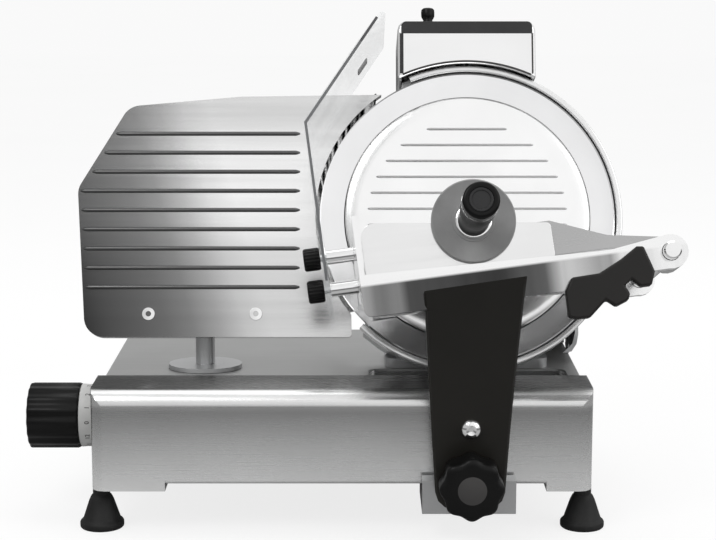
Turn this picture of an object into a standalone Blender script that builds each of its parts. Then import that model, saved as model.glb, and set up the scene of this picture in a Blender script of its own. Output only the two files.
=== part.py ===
"""Gravity-feed meat slicer with a 250 mm blade, as an assembly of separate pieces.

Metres, +Z up, X to the right and Y away from the person who works it. Sizes below are in the base's own
coordinates: X from the middle of the base, Y from its front panel, Z from the floor.
"""
import math

import bmesh
import bpy
from mathutils import Vector

# Fits and facets
GAP = 0.0003            # clearance between pieces that touch
RUN = 0.0005            # clearance of a shaft that turns or slides in its hole
OVERRUN = 0.004         # how far a cutting shape runs past what it cuts
MERGE = 0.000001
SIDES = 20              # facets of an ordinary round piece
FINE_SIDES = 48         # facets of the blade and what is round it
SMALL_SIDES = 12
ARC_STEP = math.radians(30)
BELT_STEPS = 24
RIB_STEP = math.radians(90)
EDGE_ANGLE = math.radians(35)
BEVEL_ANGLE = math.radians(40)
STEEP_ANGLE = math.radians(60)
RIB_END_SHARE = 0.45

# Base casting
BASE_WIDTH = 0.379
BASE_DEPTH = 0.285
PANEL_LOW = 0.0390
RAIL_TOP = 0.111
RAIL_DEPTH = 0.056
DECK_TOP = 0.1005
BASE_WALL = 0.0040
FRONT_EDGE_ROUND = 0.013
DECK_EDGE_ROUND = 0.009
SMALL_ROUND = 0.003
CORNER_ROUND = 0.010
LEG_LOW = 0.0335
LEG_PAD = 0.010
LEFT_LEG_WIDTH = 0.056
RIGHT_LEG_WIDTH = 0.035
LEG_DEPTH = 0.040
WELL_FRONT = 0.072
WELL_BACK = 0.121
WELL_FLOOR = 0.0845
WELL_ROUND = 0.008

# Feet
FOOT_INSET = 0.0053
FOOT_FRONT = 0.020
FOOT_BACK_INSET = 0.022
FOOT_RADIUS = 0.0168
FOOT_RIM = 0.005
FOOT_CONE = 0.027
FOOT_NECK = 0.0066

# Bottom plate
PLATE_THICK = 0.002
PLATE_FRONT = 0.058
VENT_COUNT = 7
VENT_LENGTH = 0.050
VENT_WIDTH = 0.005
VENT_PITCH = 0.012

# Blade and its tilt
BLADE_RADIUS = 0.1190
BLADE_X = 0.1004
BLADE_Y = 0.1320
BLADE_TILT = math.radians(18)
BEVEL_WIDTH = 0.0120
HOLLOW_WIDTH = 0.0195
DISH_RIM = 0.0250
BEVEL_IN = BLADE_RADIUS - BEVEL_WIDTH
HOLLOW_IN = BLADE_RADIUS - HOLLOW_WIDTH
DISH_RADIUS = BLADE_RADIUS - DISH_RIM
DISH_DEPTH = 0.0065
HOLLOW_DEPTH = 0.0012
BLADE_THICK = 0.0042
BLADE_BORE = 0.018
SCREW_RADIUS = 0.0025

# Hub behind the blade
PULLEY_RADIUS = 0.040
PULLEY_FRONT = 0.0112
PULLEY_WIDTH = 0.020
GROOVE_COUNT = 3
GROOVE_DEPTH = 0.0018
BEARING_RADIUS = 0.0145
BEARING_WIDTH = 0.006
PIN_RADIUS = 0.0085
TIE_RADIUS = 0.0038
TIE_KNOB_RADIUS = 0.0150
TIE_KNOB_LENGTH = 0.016

# Cover disc in front of the blade
COVER_MARGIN = 0.0204
COVER_RADIUS = BLADE_RADIUS - COVER_MARGIN
COVER_FRONT = 0.0030
COVER_BACK = 0.0024
COVER_RIM = 0.0006
COVER_CHAMFER = 0.005
COVER_BOSS = 0.010
COVER_RIB_PITCH = 0.0136
COVER_RIB_WIDTH = 0.0026
COVER_RIB_HEIGHT = 0.0010
COVER_RIB_REACH = COVER_RADIUS - COVER_MARGIN
COVER_RIB_PAIRS = 5

# Guard ring and blade housing
RING_CLEAR = 0.0012
RING_THICK = 0.0048
RING_ROOM = 0.0198      # between the ring's foot and the floor of the well
RING_INNER = BLADE_RADIUS + RING_CLEAR
RING_OUTER = RING_INNER + RING_THICK
BLADE_Z = WELL_FLOOR + RING_ROOM + RING_OUTER * math.cos(BLADE_TILT)
PLANE_DROP = 0.0065     # of the tray's and the gauge plate's origin below the blade's centre, along the tilt
PLANE_Y = BLADE_Y - PLANE_DROP * math.sin(BLADE_TILT)
PLANE_Z = BLADE_Z - PLANE_DROP * math.cos(BLADE_TILT)
WELL_SHARE = 0.67       # half width of the well over the blade's radius
WELL_LEFT = BLADE_X - BLADE_RADIUS * WELL_SHARE
WELL_RIGHT = BLADE_X + BLADE_RADIUS * WELL_SHARE
RING_FRONT = 0.0025
RING_BACK = 0.0100
RING_START = math.radians(-134)
RING_END = math.radians(112)
HOUSING_BACK = 0.042
HOUSING_PLATE = 0.006
HOUSING_WALL = 0.004
HOUSING_CHORD_LOW = 0.084
HOUSING_CHORD_HIGH = 0.052
HUB_BOSS = 0.022
HUB_BOSS_LENGTH = 0.016
FLANGE_BACK = 0.178
FLANGE_HALF = 0.066
FLANGE_THICK = 0.008

# Motor and drive
MOTOR_X = 0.056
MOTOR_Y = -0.036
MOTOR_RADIUS = 0.030
MOTOR_LENGTH = 0.074
MOTOR_BOSS = 0.014
MOTOR_SHAFT = 0.005
MOTOR_PULLEY = 0.0115
BELT_THICK = 0.0028
BELT_WIDTH = 0.014
COVER_SHELL = 0.003
MOTOR_ROOM = 0.005
MOTOR_CORNER_SHARE = 0.55
VENT_SLOTS = 6
VENT_SLOT_PITCH = 0.010
VENT_SLOT_WIDTH = 0.0042
VENT_SLOT_LENGTH = 0.044

# Slice deflector behind the blade
DEFLECTOR_THICK = 0.0018
DEFLECTOR_LOW = -0.070
DEFLECTOR_HIGH = 0.078
DEFLECTOR_REACH = 0.040

# Gauge plate
GAUGE_FRONT = 0.0008
GAUGE_THICK = 0.0042
GAUGE_RIM_DEPTH = 0.0100
GAUGE_RIM = 0.0042
GAUGE_ARC_CLEAR = 0.0035
GAUGE_ARC = BLADE_RADIUS + GAUGE_ARC_CLEAR
GAUGE_TOP_DROP = 0.0149
GAUGE_MIDDLE_DROP = 0.0165
GAUGE_LEFT_DROP = 0.0246
GAUGE_LOW_RISE = 0.0319
GAUGE_SCREW_RISE = 0.0505
GAUGE_LOW_RIGHT = -0.0935
GAUGE_LEFT_HIGH = (-0.3147, 0.0299)
GAUGE_LEFT_LOW = (-0.3066, GAUGE_LOW_RISE - GAUGE_ARC)
GAUGE_TOP_LEFT = (-0.2742, GAUGE_ARC - GAUGE_LEFT_DROP)
GAUGE_TOP_MIDDLE = (-0.1836, GAUGE_ARC - GAUGE_MIDDLE_DROP)
GAUGE_TOP = GAUGE_ARC - GAUGE_TOP_DROP
GAUGE_CORNER = 0.016
GAUGE_RIBS = 9
GAUGE_RIB_TOP = 0.0752
GAUGE_RIB_PITCH = 0.0157
GAUGE_RIB_WIDTH = 0.0036
GAUGE_RIB_HEIGHT = 0.0013
GAUGE_RIB_RIGHT = -0.1350
GAUGE_RIB_INSET = 0.0022
GAUGE_SCREW_X = 0.2130
GAUGE_SCREW_SPAN = 0.086
GAUGE_SCREW_Y = GAUGE_SCREW_RISE - GAUGE_ARC
GAUGE_SCREW_RADIUS = 0.0030
GAUGE_SCREW_HEAD = 0.0055
GAUGE_TRAVEL = 0.0120

# Support of the gauge plate
POST_X = -0.1120
POST_Y = 0.1260
POST_RADIUS = 0.0078
WEB_HALF = 0.0070
BAR_HEIGHT = 0.020
BAR_THICK = 0.010
OVAL_HALF_X = 0.030
OVAL_HALF_Y = 0.0235
OVAL_THICK = 0.0035
GUIDE_ROD_RADIUS = 0.005
GUIDE_ROD_Z = 0.0640
GUIDE_LEG_THICK = 0.004
GUIDE_LEG_SPACE = 0.0660
GUIDE_HALF_WIDTH = 0.016
GUIDE_ROOM = 0.0025
SLIDER_LENGTH = 0.045
SLIDER_HALF_WIDTH = 0.0170
SLIDER_HALF_HEIGHT = 0.0095

# Thickness index: knob, dial, shaft and scroll cam
INDEX_Y = 0.068
INDEX_Z = 0.0755
INDEX_KNOB_RADIUS = 0.0258
INDEX_KNOB_LENGTH = 0.0400
INDEX_FLUTES = 16
INDEX_FLUTE_DEPTH = 0.0011
INDEX_EDGE = 0.0015
INDEX_DIAL_RADIUS = 0.0235
INDEX_DIAL_RIM = 0.0248
INDEX_DIAL_LENGTH = 0.0147
INDEX_SHAFT = 0.0038
CAM_RADIUS = 0.0206
CAM_THICK = 0.0070
CAM_GROOVE_DEPTH = 0.0040
CAM_GROOVE_HALF = 0.0020
CAM_START = 0.0062
CAM_TURN = math.radians(330)
CAM_LEAD_IN = math.radians(25)
CAM_LEAD_OUT = math.radians(9)
CAM_FACE_GAP = 0.0030
FOLLOWER_RADIUS = 0.0016
FOLLOWER_ARM = 0.0060

# Carriage guide in the front rail
ROD_RADIUS = 0.0070
ROD_Y = 0.0248
ROD_Z = 0.0680
BLOCK_HALF = 0.0350
RISER_HALF = 0.0260
RISER_FRONT = 0.0130
RISER_BACK = 0.0365
RISER_TOP = 0.0820
BLOCK_LOW = 0.0220
FOOT_TOP = 0.0328
LUG_FRONT = -0.0197
LUG_BACK = -0.0040
LUG_TOP = 0.0660
LUG_SHOULDER = 0.0475
LUG_NECK = 0.0200
ROLLER_RADIUS = 0.0090
ROLLER_WIDTH = 0.0070
ROLLER_PIN = 0.0030
ROLLER_Z = 0.0700
BAR_SECTION_Y = 0.0100
BAR_SECTION_Z = 0.0080

# Carriage: rest place, arm and lock knob
CARRIAGE_X = 0.0950
ARM_THICK = 0.0125
ARM_LOW = 0.0290
ARM_BEND = 0.0850
ARM_TOP_DROP = 0.0020
ARM_TOP = PLANE_Z - ARM_TOP_DROP
ARM_LEAN = 0.0330
ARM_LOW_HALF = 0.0250
ARM_TOP_HALF = 0.0370
ARM_ROUND = 0.014
ARM_EDGE = 0.0016
ARM_PAD_HIGH = 0.0125
ARM_STEPS = 6
ARM_STRAIGHT_SHARE = 0.45
LOCK_Z = 0.0510
LOCK_RADIUS = 0.0238
LOCK_LENGTH = 0.0250
LOCK_LOBES = 8
LOCK_LOBE_DEPTH = 0.0022
LOCK_EDGE = 0.0030
SPINDLE_RADIUS = 0.0040
ARM_SCREW_Z = 0.0910

# Tray, in the tilted plane and rolled
TRAY_ROLL = math.radians(7.66)
TRAY_FLOOR = -0.0570
TRAY_LEFT = -0.0950
TRAY_RIGHT = 0.0942
TRAY_BACK = 0.0045
TRAY_FRONT = 0.1650
TRAY_WALL = 0.0040
FENCE_HEIGHT = 0.0490
TRAY_FILLET = 0.0060
APRON_HEIGHT = 0.0250
BACK_LIP = 0.0090
UNDER_RIB_HEIGHT = 0.0050
UNDER_RIB_THICK = 0.0030
UNDER_RIBS = 3

# Rod of the meat press and its ears on the tray
PRESS_ROD_X = 0.1286
PRESS_ROD_Y = -0.0637
PRESS_ROD_RADIUS = 0.0065
EAR_RADIUS = 0.0125
EAR_FRONT_THICK = 0.0090
EAR_BACK_THICK = 0.0080
EAR_ROOT_HIGH = 0.0120
EAR_START = math.radians(-105)
EAR_END = math.radians(95)
CLAMP_LEFT = 0.0589
CLAMP_LOW = -0.0958
CLAMP_WIDTH = 0.0640
CLAMP_HEIGHT = 0.0524
CLAMP_THICK = 0.0080
CLAMP_EDGE = 0.0012
CLAMP_SHARES = (
    (0.03, 0.03), (0.00, 0.38), (0.07, 0.57), (0.38, 0.63), (0.62, 0.82), (0.80, 1.00),
    (0.88, 1.00), (1.00, 0.66), (0.96, 0.46), (0.84, 0.44), (0.74, 0.54), (0.66, 0.46),
    (0.72, 0.36), (0.70, 0.26), (0.56, 0.17), (0.45, 0.26), (0.27, 0.02), (0.12, 0.00),
)

# Meat press
SLEEVE_RADIUS = 0.0088
PRESS_HUB_RADIUS = 0.0125
PRESS_HUB_LENGTH = 0.0190
PRESS_ARM_THICK = 0.0080
PRESS_ARM_INNER = 0.0100
PRESS_PLATE_FRONT = 0.1560
PRESS_PLATE_THICK = 0.0040
PRESS_PLATE_CLEAR = 0.0010
PRESS_PLATE_RIGHT = 0.0470
PRESS_PLATE_RIGHT_HIGH = 0.0260
PRESS_PLATE_LEFT_HIGH = 0.0436
PRESS_TEETH = 8
PRESS_TOOTH_DEPTH = 0.0040
PRESS_ARM_MIDDLE = 0.0870
PRESS_ARM_MIDDLE_HIGH = 0.0100

# Handle of the meat press
HANDLE_X = -0.0080
HANDLE_Y = -0.0221
DISC_RADIUS = 0.0307
DISC_THICK = 0.0035
GRIP_LENGTH = 0.0860
GRIP_RADIUS = 0.0130
GRIP_SHARES = (
    (0.92, 0.00), (1.00, 0.10), (0.96, 0.30), (0.75, 0.62), (0.75, 0.68), (1.00, 0.74), (1.00, 0.95),
    (0.90, 1.00),
)
GRIP_STUD = 0.0040
GRIP_CAP_RADIUS = 0.0085
GRIP_CAP_THICK = 0.0022

# Guard sheet on the carriage and its thumb screws
SHEET_X = -0.1185
SHEET_LOW = -0.0626
SHEET_BEND = 0.0724
SHEET_TOP_X = -0.0492
SHEET_TOP_Y = 0.1519
SHEET_THICK = 0.0040
SHEET_BACK = 0.0150
SHEET_FRONT = 0.1300
SHEET_CORNER = 0.0140
THUMB_Z = 0.0800
THUMB_HIGH = -0.0230
THUMB_LOW = -0.0478
THUMB_SHAFT = 0.0026
THUMB_HEAD = 0.0088
THUMB_HEAD_LENGTH = 0.0130
SPACER_RADIUS = 0.0055

# Sharpener on top of the guard ring
SHARP_HALF = 0.0560
SHARP_FRONT = 0.0100
SHARP_BACK = 0.0620
SHARP_SHELL = 0.0035
SHARP_ROUND = 0.0070
SHARP_SEAT_CLEAR = 0.0006
SHARP_HEIGHT = 0.0348
SHARP_SEAT = RING_OUTER + SHARP_SEAT_CLEAR
SHARP_TOP = SHARP_SEAT + SHARP_HEIGHT
SHARP_POST_Z = -0.0500
SHARP_POST_RADIUS = 0.0050
SHARP_BRACKET_HALF = 0.0120
SHARP_BRACKET_MARGIN = 0.0030
SHARP_BRACKET_HEIGHT = 0.0340
SHARP_BRACKET_HIGH = RING_OUTER - SHARP_BRACKET_MARGIN
SHARP_BRACKET_LOW = SHARP_BRACKET_HIGH - SHARP_BRACKET_HEIGHT
SHARP_POST_LOW = SHARP_BRACKET_LOW + SHARP_BRACKET_MARGIN
SHARP_BRACKET_THICK = 0.0160
SHARP_KNOB_X = -0.0310
SHARP_KNOB_RADIUS = 0.0055
SHARP_KNOB_LENGTH = 0.0126
SHARP_KNOB_NECK = 0.0038
SHARP_STEM = 0.0022
STONE_X = 0.0230
STONE_RISE = 0.0210
STONE_Y = BLADE_RADIUS + STONE_RISE
STONE_RADIUS = 0.0110
STONE_THICK = 0.0080
STONE_FRONT = -0.0120
STONE_SHAFT = 0.0030
STONE_STOP = 0.0046
BUTTON_RADIUS = 0.0070
BUTTON_LENGTH = 0.0090
BUTTON_PUSH = 0.0040

# Switch on the right side and gland at the back
SWITCH_Y = 0.1500
SWITCH_Z = 0.0690
SWITCH_WIDTH = 0.0500
SWITCH_HEIGHT = 0.0320
SWITCH_FRAME = 0.0030
SWITCH_BODY_INSET = 0.0040
SWITCH_BODY_DEPTH = 0.0160
SWITCH_ROUND = 0.0050
KEY_WIDTH = 0.0160
KEY_HEIGHT = 0.0180
KEY_SPAN = 0.0200
KEY_PROUD = 0.0045
KEY_TRAVEL = 0.0030
GLAND_X = 0.1200
GLAND_Z = 0.0660
GLAND_NECK = 0.0070
GLAND_FLANGE = 0.0110
GLAND_LENGTH = 0.0180
GLAND_BORE = 0.0036

FINISHES = {
    "cast": ((0.46, 0.47, 0.48), 0.38, 1.0),
    "satin": ((0.62, 0.63, 0.64), 0.30, 1.0),
    "polished": ((0.82, 0.82, 0.83), 0.14, 1.0),
    "steel": ((0.70, 0.71, 0.72), 0.20, 1.0),
    "stainless": ((0.80, 0.80, 0.80), 0.10, 1.0),
    "black_paint": ((0.020, 0.020, 0.020), 0.35, 0.0),
    "black_plastic": ((0.018, 0.018, 0.019), 0.42, 0.0),
    "dark_plastic": ((0.085, 0.085, 0.090), 0.45, 0.0),
    "grey_plastic": ((0.33, 0.33, 0.33), 0.50, 0.0),
    "pale_plastic": ((0.62, 0.62, 0.61), 0.50, 0.0),
    "rubber": ((0.012, 0.012, 0.012), 0.80, 0.0),
    "clear": ((0.86, 0.90, 0.92), 0.05, 0.0),
    "stone": ((0.30, 0.27, 0.25), 0.95, 0.0),
    "green": ((0.02, 0.25, 0.06), 0.40, 0.0),
    "red": ((0.45, 0.02, 0.02), 0.40, 0.0),
}


# Shapes

def turn_axes(bm, axis):
    """Lay a shape made along Z along another axis: X takes (Y, Z) outlines and Y takes (X, Z) outlines."""
    for vert in bm.verts:
        a, b, c = vert.co
        if axis == "X":
            vert.co = (c, a, b)
        elif axis == "Y":
            vert.co = (a, c, b)
    return bm


def extruded(outline, low, high, axis="Z"):
    """Closed solid of an outline between two heights on an axis."""
    bm = bmesh.new()
    face = bm.faces.new([bm.verts.new((x, y, low)) for x, y in outline])
    grown = bmesh.ops.extrude_face_region(bm, geom=[face])
    top = [item for item in grown["geom"] if isinstance(item, bmesh.types.BMVert)]
    bmesh.ops.translate(bm, verts=top, vec=(0, 0, high - low))
    return turn_axes(bm, axis)


def turned(profile, sides=SIDES, axis="Z"):
    """Closed solid of revolution of a profile of (radius, height) points about an axis."""
    bm = bmesh.new()
    points = [bm.verts.new((radius, 0, height)) for radius, height in profile]
    pairs = list(zip(points, points[1:]))
    if profile[0][0] > 0 or profile[-1][0] > 0:
        pairs.append((points[-1], points[0]))
    edges = [bm.edges.new(pair) for pair in pairs]
    bmesh.ops.spin(bm, geom=points + edges, axis=(0, 0, 1), cent=(0, 0, 0), angle=math.tau, steps=sides)
    bmesh.ops.remove_doubles(bm, verts=bm.verts, dist=MERGE)
    return turn_axes(bm, axis)


def rod_shape(radius, low, high, sides=SMALL_SIDES, axis="Z"):
    """Plain round rod, which also serves to cut a hole."""
    return turned([(0, low), (radius, low), (radius, high), (0, high)], sides, axis)


def moved(bm, x=0, y=0, z=0):
    bmesh.ops.translate(bm, verts=bm.verts, vec=(x, y, z))
    return bm


def block(x, y, z):
    """Box between two values on each axis."""
    return extruded([(x[0], y[0]), (x[1], y[0]), (x[1], y[1]), (x[0], y[1])], z[0], z[1])


def arc(x, y, radius, start, end, steps):
    return [
        (x + radius * math.cos(start + (end - start) * i / steps),
         y + radius * math.sin(start + (end - start) * i / steps))
        for i in range(steps + 1)
    ]


def rounded(corners, step=ARC_STEP):
    """Outline whose corners (x, y, radius) are turned into arcs."""
    path = []
    for i, (x, y, radius) in enumerate(corners):
        here = Vector((x, y))
        if radius <= 0:
            path.append((x, y))
            continue
        back = (Vector(corners[i - 1][:2]) - here).normalized()
        ahead = (Vector(corners[(i + 1) % len(corners)][:2]) - here).normalized()
        half = back.angle(ahead) / 2
        centre = here + (back + ahead).normalized() * (radius / math.sin(half))
        start = here + back * (radius / math.tan(half)) - centre
        end = here + ahead * (radius / math.tan(half)) - centre
        turn = math.atan2(start.x * end.y - start.y * end.x, start.dot(end))
        first = math.atan2(start.y, start.x)
        path += arc(centre.x, centre.y, radius, first, first + turn, max(1, math.ceil(abs(turn) / step)))
    return path


def rounded_box(left, right, low, high, radius, step=ARC_STEP):
    corners = [(left, low), (right, low), (right, high), (left, high)]
    return rounded([(*corner, radius) for corner in corners], step)


def lobed(radius, depth, lobes, per_lobe=6):
    """Round outline with shallow hollows, as on a hand knob."""
    count = lobes * per_lobe
    return [
        ((radius - depth * (1 - math.cos(math.tau * i / per_lobe)) / 2) * math.cos(math.tau * i / count),
         (radius - depth * (1 - math.cos(math.tau * i / per_lobe)) / 2) * math.sin(math.tau * i / count))
        for i in range(count)
    ]


def add_shape(bm, other):
    """Put the faces of another shape into this one as a separate solid."""
    copy = bpy.data.meshes.new("copy")
    other.to_mesh(copy)
    other.free()
    bm.from_mesh(copy)
    bpy.data.meshes.remove(copy)
    return bm


# Objects

def empty(name, parent=None, location=(0, 0, 0), rotation=(0, 0, 0)):
    item = bpy.data.objects.new(name, None)
    bpy.context.collection.objects.link(item)
    item.parent = parent
    item.location = location
    item.rotation_euler = rotation
    return item


def finish_of(name, finish):
    colour, roughness, metallic = FINISHES[finish]
    material = bpy.data.materials.new(name + "_" + finish)
    material.use_nodes = True
    shader = material.node_tree.nodes["Principled BSDF"]
    shader.inputs["Base Color"].default_value = (*colour, 1)
    shader.inputs["Roughness"].default_value = roughness
    shader.inputs["Metallic"].default_value = metallic
    return material


def piece(name, bm, finish, parent, location=(0, 0, 0)):
    """Object of one closed shape, smooth where it is round."""
    bmesh.ops.recalc_face_normals(bm, faces=bm.faces)
    if bm.calc_volume(signed=True) < 0:
        bmesh.ops.reverse_faces(bm, faces=bm.faces)
    mesh = bpy.data.meshes.new(name)
    bm.to_mesh(mesh)
    bm.free()
    mesh.shade_smooth()
    mesh.set_sharp_from_angle(angle=EDGE_ANGLE)
    item = bpy.data.objects.new(name, mesh)
    bpy.context.collection.objects.link(item)
    item.parent = parent
    item.location = location
    item.data.materials.append(finish_of(name, finish))
    return item


def combine(item, bm, operation, parent=None):
    """Cut, join or intersect a shape with an object, and keep the result as its mesh."""
    tool = piece("tool", bm, "steel", item.parent if parent is None else parent)
    change = item.modifiers.new("combine", "BOOLEAN")
    change.operation = operation
    change.object = tool
    change.solver = "EXACT"
    keep_result(item)
    bpy.data.objects.remove(tool, do_unlink=True)
    return item


def cut(item, bm, parent=None):
    return combine(item, bm, "DIFFERENCE", parent)


def join(item, bm, parent=None):
    return combine(item, bm, "UNION", parent)


def bevel(item, width, segments=1, angle=BEVEL_ANGLE):
    change = item.modifiers.new("edges", "BEVEL")
    change.width = width
    change.segments = segments
    change.limit_method = "ANGLE"
    change.angle_limit = angle
    keep_result(item)
    return item


def keep_result(item):
    """Turn an object's modifiers into its mesh."""
    graph = bpy.context.evaluated_depsgraph_get()
    old = item.data
    item.data = bpy.data.meshes.new_from_object(item.evaluated_get(graph))
    item.modifiers.clear()
    bpy.data.meshes.remove(old)


# Base

HALF = BASE_WIDTH / 2
INNER_HALF = HALF - BASE_WALL


def leg_block(left, right, front, back):
    """Solid pad under a corner, larger than the base's plan, which trims it."""
    return block((left, right), (front, back), (LEG_LOW, PANEL_LOW + LEG_PAD))


def base_housing(frame):
    outer = rounded([
        (0, PANEL_LOW, SMALL_ROUND), (0, RAIL_TOP, FRONT_EDGE_ROUND), (RAIL_DEPTH, RAIL_TOP, SMALL_ROUND),
        (RAIL_DEPTH, DECK_TOP, SMALL_ROUND), (BASE_DEPTH, DECK_TOP, DECK_EDGE_ROUND),
        (BASE_DEPTH, PANEL_LOW, SMALL_ROUND),
    ])
    body = piece("base_housing", extruded(outer, -HALF - OVERRUN, HALF + OVERRUN, "X"), "cast", frame)
    low = LEG_LOW - OVERRUN
    inner = [
        (BASE_WALL, low), (BASE_WALL, RAIL_TOP - BASE_WALL),
        (RAIL_DEPTH - BASE_WALL, RAIL_TOP - BASE_WALL), (RAIL_DEPTH - BASE_WALL, DECK_TOP - BASE_WALL),
        (BASE_DEPTH - BASE_WALL, DECK_TOP - BASE_WALL), (BASE_DEPTH - BASE_WALL, low),
    ]
    hollow = piece("hollow", extruded(inner, -INNER_HALF, INNER_HALF, "X"), "cast", frame)
    cut(hollow, block((WELL_LEFT - BASE_WALL, WELL_RIGHT + BASE_WALL),
                      (WELL_FRONT - BASE_WALL, WELL_BACK + BASE_WALL),
                      (WELL_FLOOR - BASE_WALL, DECK_TOP)))
    shape = bmesh.new()
    shape.from_mesh(hollow.data)
    bpy.data.objects.remove(hollow, do_unlink=True)
    cut(body, shape)
    for left, right, front, back in (
        (-HALF - OVERRUN * 2, -HALF + LEFT_LEG_WIDTH, -OVERRUN, LEG_DEPTH),
        (HALF - RIGHT_LEG_WIDTH, HALF + OVERRUN * 2, -OVERRUN, LEG_DEPTH),
        (-HALF - OVERRUN * 2, -HALF + LEG_DEPTH, BASE_DEPTH - LEG_DEPTH, BASE_DEPTH + OVERRUN),
        (HALF - LEG_DEPTH, HALF + OVERRUN * 2, BASE_DEPTH - LEG_DEPTH, BASE_DEPTH + OVERRUN),
    ):
        join(body, leg_block(left, right, front, back))
    plan = rounded_box(-HALF, HALF, 0, BASE_DEPTH, CORNER_ROUND)
    combine(body, extruded(plan, low, RAIL_TOP + OVERRUN), "INTERSECT")
    well = rounded_box(WELL_LEFT, WELL_RIGHT, WELL_FRONT, WELL_BACK, WELL_ROUND)
    cut(body, extruded(well, WELL_FLOOR, DECK_TOP + OVERRUN))
    index_hole = rod_shape(INDEX_SHAFT + RUN, -HALF - OVERRUN, -INNER_HALF + OVERRUN, axis="X")
    cut(body, moved(index_hole, y=INDEX_Y, z=INDEX_Z))
    reach = POST_RADIUS + 2 * RUN
    slot = rounded_box(POST_X - reach, POST_X + reach, POST_Y - reach, POST_Y + GAUGE_TRAVEL + reach, reach)
    cut(body, extruded(slot, DECK_TOP - BASE_WALL - OVERRUN, DECK_TOP + OVERRUN))
    half_y = SWITCH_WIDTH / 2 - SWITCH_BODY_INSET + GAP
    half_z = SWITCH_HEIGHT / 2 - SWITCH_BODY_INSET + GAP
    cut(body, block((INNER_HALF - OVERRUN, HALF + OVERRUN), (SWITCH_Y - half_y, SWITCH_Y + half_y),
                    (SWITCH_Z - half_z, SWITCH_Z + half_z)))
    gland_hole = rod_shape(GLAND_NECK + GAP, BASE_DEPTH - BASE_WALL - OVERRUN, BASE_DEPTH + OVERRUN, axis="Y")
    cut(body, moved(gland_hole, x=GLAND_X, z=GLAND_Z))
    return body


def rubber_feet(frame):
    profile = [
        (0, 0), (FOOT_RADIUS, 0), (FOOT_RADIUS, FOOT_RIM), (FOOT_RADIUS - FOOT_RIM / 2, FOOT_RIM * 3 / 2),
        (FOOT_NECK + FOOT_RIM / 2, FOOT_CONE - FOOT_RIM), (FOOT_NECK, FOOT_CONE),
        (FOOT_NECK, LEG_LOW - GAP), (0, LEG_LOW - GAP),
    ]
    for depth, y in (("front", FOOT_FRONT), ("rear", BASE_DEPTH - FOOT_BACK_INSET)):
        for side, x in (("left", -HALF + FOOT_INSET), ("right", HALF - FOOT_INSET)):
            piece("foot_" + depth + "_" + side, turned(profile, SMALL_SIDES), "rubber", frame, (x, y, 0))


def bottom_plate(frame):
    right = INNER_HALF - GAP
    back = BASE_DEPTH - BASE_WALL - GAP
    notch_x = HALF - LEG_DEPTH - GAP
    notch_y = BASE_DEPTH - LEG_DEPTH - GAP
    outline = [(-right, PLATE_FRONT), (right, PLATE_FRONT), (right, notch_y), (notch_x, notch_y),
               (notch_x, back), (-notch_x, back), (-notch_x, notch_y), (-right, notch_y)]
    plate = piece("bottom_plate", extruded(outline, PANEL_LOW, PANEL_LOW + PLATE_THICK), "steel", frame)
    vents = bmesh.new()
    for i in range(VENT_COUNT):
        x = BLADE_X + (i - (VENT_COUNT - 1) / 2) * VENT_PITCH
        add_shape(vents, block((x - VENT_WIDTH / 2, x + VENT_WIDTH / 2),
                               (BASE_DEPTH / 2 - VENT_LENGTH / 2, BASE_DEPTH / 2 + VENT_LENGTH / 2),
                               (PANEL_LOW - OVERRUN, PANEL_LOW + PLATE_THICK + OVERRUN)))
    return cut(plate, vents)


def carriage_rod(frame):
    end = INNER_HALF - GAP
    rod = rod_shape(ROD_RADIUS, -end, end, axis="X")
    return piece("carriage_rod", rod, "steel", frame, (0, ROD_Y, ROD_Z))


def guide_bar(frame):
    end = INNER_HALF - GAP
    low = ROLLER_Z + ROLLER_RADIUS + GAP
    front = RISER_BACK + RUN
    bar = block((-end, end), (front, front + BAR_SECTION_Y), (low, low + BAR_SECTION_Z))
    return piece("guide_bar", bar, "steel", frame)


def switch(frame):
    face = HALF + GAP
    deep = HALF - SWITCH_BODY_DEPTH
    plate = rounded_box(SWITCH_Y - SWITCH_WIDTH / 2, SWITCH_Y + SWITCH_WIDTH / 2,
                        SWITCH_Z - SWITCH_HEIGHT / 2, SWITCH_Z + SWITCH_HEIGHT / 2, SWITCH_ROUND)
    bezel = piece("switch_bezel", extruded(plate, face, face + SWITCH_FRAME, "X"), "black_plastic", frame)
    half_y = SWITCH_WIDTH / 2 - SWITCH_BODY_INSET
    half_z = SWITCH_HEIGHT / 2 - SWITCH_BODY_INSET
    join(bezel, block((deep, face + SWITCH_FRAME / 2), (SWITCH_Y - half_y, SWITCH_Y + half_y),
                      (SWITCH_Z - half_z, SWITCH_Z + half_z)))
    floor = deep + KEY_TRAVEL
    for name, side, finish in (("switch_off_button", -1, "red"), ("switch_on_button", 1, "green")):
        y = SWITCH_Y + side * KEY_SPAN / 2
        y_ends = (y - KEY_WIDTH / 2, y + KEY_WIDTH / 2)
        z_ends = (SWITCH_Z - KEY_HEIGHT / 2, SWITCH_Z + KEY_HEIGHT / 2)
        room = RUN
        cut(bezel, block((floor, face + SWITCH_FRAME + OVERRUN), (y_ends[0] - room, y_ends[1] + room),
                         (z_ends[0] - room, z_ends[1] + room)))
        bottom = floor + KEY_TRAVEL + GAP
        top = face + SWITCH_FRAME + KEY_PROUD
        shape = moved(block((bottom, top), y_ends, z_ends), x=-top, y=-y, z=-SWITCH_Z)
        key = piece(name, shape, finish, frame, (top, y, SWITCH_Z))
        bevel(key, SMALL_ROUND / 3, 2)
    return bezel


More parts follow.
